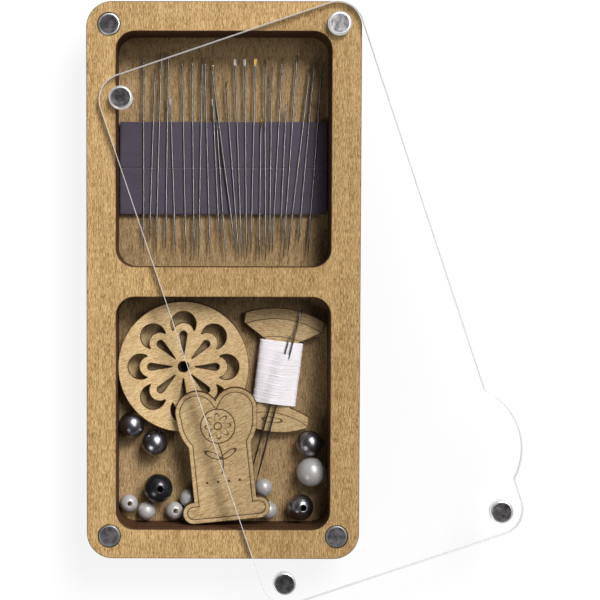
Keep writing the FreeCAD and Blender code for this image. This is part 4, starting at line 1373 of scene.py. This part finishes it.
class BOBBINBOX_OT_beads(bpy.types.Operator):
    """Drilled round beads: gunmetal, black, and large and small pearls."""

    bl_idname = "bobbin_box.beads"
    bl_label = "Beads"

    def execute(self, context):
        size = sizes("contents")
        tones = sizes("colours")
        plated = {"Metallic": 1.0, "Roughness": 0.3}
        glass = {"Roughness": 0.3, "Coat Weight": 0.22, "Coat Roughness": 0.12}
        # The emission is the painted light glowing in the pearls' holes
        nacre = {"Metallic": 0.2, "Roughness": 0.4, "Coat Weight": 0.6, "Coat Roughness": 0.12,
                 "Subsurface Weight": 0.4, "Subsurface Scale": 0.0012, "Subsurface Radius": (1, 1, 1),
                 "Emission Strength": 1.0}
        coats = {
            "gunmetal": bead_finish("gunmetal", tones.gunmetal, plated, depth=0.25, hole=0.3),
            "black_gloss": bead_finish("black_gloss", BLACK_GLASS, glass, depth=0.3, hole=0.4),
            "pearl": bead_finish("pearl", tones.pearl, nacre, depth=0.06, hole=0.8, painted_glow=HOLE_PAINTED_GLOW),
        }
        beads = [name for name in frame["nodes"] if name.split("_")[0] in BEAD_FINISHES]
        for name in sorted(beads):
            kind = name.split("_")[0]
            diameter = {"gunmetal": size.gunmetal, "small": size.small_bead}.get(kind, size.large_bead)
            bore = size.small_bore if kind == "small" else size.large_bore
            axis = UPRIGHT_HOLE
            if name in HOLE_BEARINGS:
                bearing = math.radians(HOLE_BEARINGS[name])
                axis = (math.cos(bearing), math.sin(bearing), LEVEL_HOLE_RISE)
            low, high = node_box(name)
            shape = bead_shape(diameter / 2, bore, (low + high) / 2, axis)
            slot = BEAD_FINISHES[kind]
            piece(name + "_drilled", shape, coats[slot], "box", [name])
        return {"FINISHED"}


def lamp(name, place, aim, width, watts):
    """Square soft lamp at a place, facing a point."""
    light = bpy.data.lights.new(name, "AREA")
    light.shape = "SQUARE"
    light.size = width
    light.energy = watts
    made = bpy.data.objects.new(name, light)
    made.location = place
    made.rotation_euler = (Vector(place) - Vector(aim)).to_track_quat("Z", "Y").to_euler()
    bpy.context.scene.collection.objects.link(made)


def background_rays(shade):
    """1 for the rays that show the background: from the camera, off a gloss or through glass."""
    kinds = ("Is Camera Ray", "Is Glossy Ray", "Is Transmission Ray")
    camera, glossy, passed = (shade.add("ShaderNodeLightPath", None, None, kind) for kind in kinds)
    return (camera + glossy + passed).clamp()


def set_camera(scene, lens):
    """Camera above the box, with a lens on a sensor 36 mm wide."""
    camera = bpy.data.cameras.new("camera")
    camera.sensor_width = 36
    camera.lens = lens
    camera.shift_x, camera.shift_y = CAMERA_SHIFT
    holder = bpy.data.objects.new("camera", camera)
    holder.location = CAMERA_PLACE
    holder.rotation_euler = np.radians(CAMERA_TURN)
    scene.collection.objects.link(holder)
    scene.camera = holder


def set_sky(scene, level):
    """Even sky of a level, which shows white near the horizon to the rays that show the background."""
    world = bpy.data.worlds.new("sky")
    world.use_nodes = True
    backdrop = world.node_tree.nodes["Background"]
    backdrop.inputs["Color"].default_value = (1, 1, 1, 1)
    sky = Shade(world.node_tree)
    _, _, height = sky.add("ShaderNodeTexCoord", None, None, "Generated").parts()
    horizon = 1 - abs(height).rise(*HORIZON)
    (level + (1 - level) * horizon * background_rays(sky)).feed(backdrop, "Strength")
    scene.world = world


def set_floor(scene):
    """Square floor of pale paper, most of it plain white to the rays that show the background."""
    mesh = bpy.data.meshes.new("floor")
    signs = ((-1, -1), (1, -1), (1, 1), (-1, 1))
    places = [(x * FLOOR_HALF, y * FLOOR_HALF, FLOOR_LEVEL) for x, y in signs]
    mesh.from_pydata(places, [], [(0, 1, 2, 3)])
    floor = bpy.data.objects.new("floor", mesh)
    scene.collection.objects.link(floor)
    constants = {"Roughness": 0.9, "Specular IOR Level": 0.1, "Base Color": (0.92, 0.92, 0.92, 1)}
    material, shader, shade = finish("floor_paper", constants)
    white = shade.add("ShaderNodeEmission")
    whole = (background_rays(shade) * FLOOR_WHITE).blend(Shade(shade.tree, shader.outputs[0]), white)
    whole.feed(shade.tree.nodes["Material Output"], "Surface")
    mesh.materials.append(material)


class BOBBINBOX_OT_stage(bpy.types.Operator):
    """Pale floor, soft lamps, sky with a white horizon, and the camera above the box."""

    bl_idname = "bobbin_box.stage"
    bl_label = "Stage"

    def execute(self, context):
        scene = context.scene
        settings = sizes("stage")
        scene.view_settings.view_transform = "Standard"
        set_camera(scene, settings.lens)
        lamp("key_lamp", *KEY_LAMP, settings.key_power)
        lamp("fill_lamp", *FILL_LAMP, settings.fill_power)
        lamp("glint_lamp", *GLINT_LAMP, settings.glint_power)
        set_sky(scene, settings.sky)
        set_floor(scene)
        return {"FINISHED"}


class BOBBINBOX_PT_sidebar(bpy.types.Panel):
    """Lists the pieces of the bobbin box and their sizes."""

    bl_label = "Bobbin box"
    bl_idname = "BOBBINBOX_PT_sidebar"
    bl_space_type = "VIEW_3D"
    bl_region_type = "UI"
    bl_category = "Bobbin box"

    def draw(self, context):
        for operator in OPERATORS:
            self.layout.operator(operator.bl_idname)
        for group, kind in GROUPS.items():
            area = self.layout.box()
            area.label(text=kind.__doc__)
            for key in kind.__annotations__:
                area.prop(getattr(context.scene, "bobbin_box_" + group), key)


OPERATORS = (
    BOBBINBOX_OT_stage, BOBBINBOX_OT_plywood_box, BOBBINBOX_OT_magnets, BOBBINBOX_OT_lid,
    BOBBINBOX_OT_needle_strips, BOBBINBOX_OT_needles, BOBBINBOX_OT_bobbin, BOBBINBOX_OT_spool_card,
    BOBBINBOX_OT_spool_thread, BOBBINBOX_OT_lobed_card, BOBBINBOX_OT_beads,
)


def register():
    """Registers the classes and hangs the property groups on the scene."""
    for kind in (*GROUPS.values(), *OPERATORS, BOBBINBOX_PT_sidebar):
        bpy.utils.register_class(kind)
    for group, kind in GROUPS.items():
        setattr(bpy.types.Scene, "bobbin_box_" + group, PointerProperty(type=kind))


def unregister():
    """Takes the property groups and the classes away again."""
    for group in GROUPS:
        delattr(bpy.types.Scene, "bobbin_box_" + group)
    for kind in reversed((*GROUPS.values(), *OPERATORS, BOBBINBOX_PT_sidebar)):
        bpy.utils.unregister_class(kind)


def main():
    """Registers the add-on, then builds every piece in order."""
    register()
    for operator in OPERATORS:
        group, name = operator.bl_idname.split(".")
        getattr(getattr(bpy.ops, group), name)()


if __name__ == "__main__":
    main()
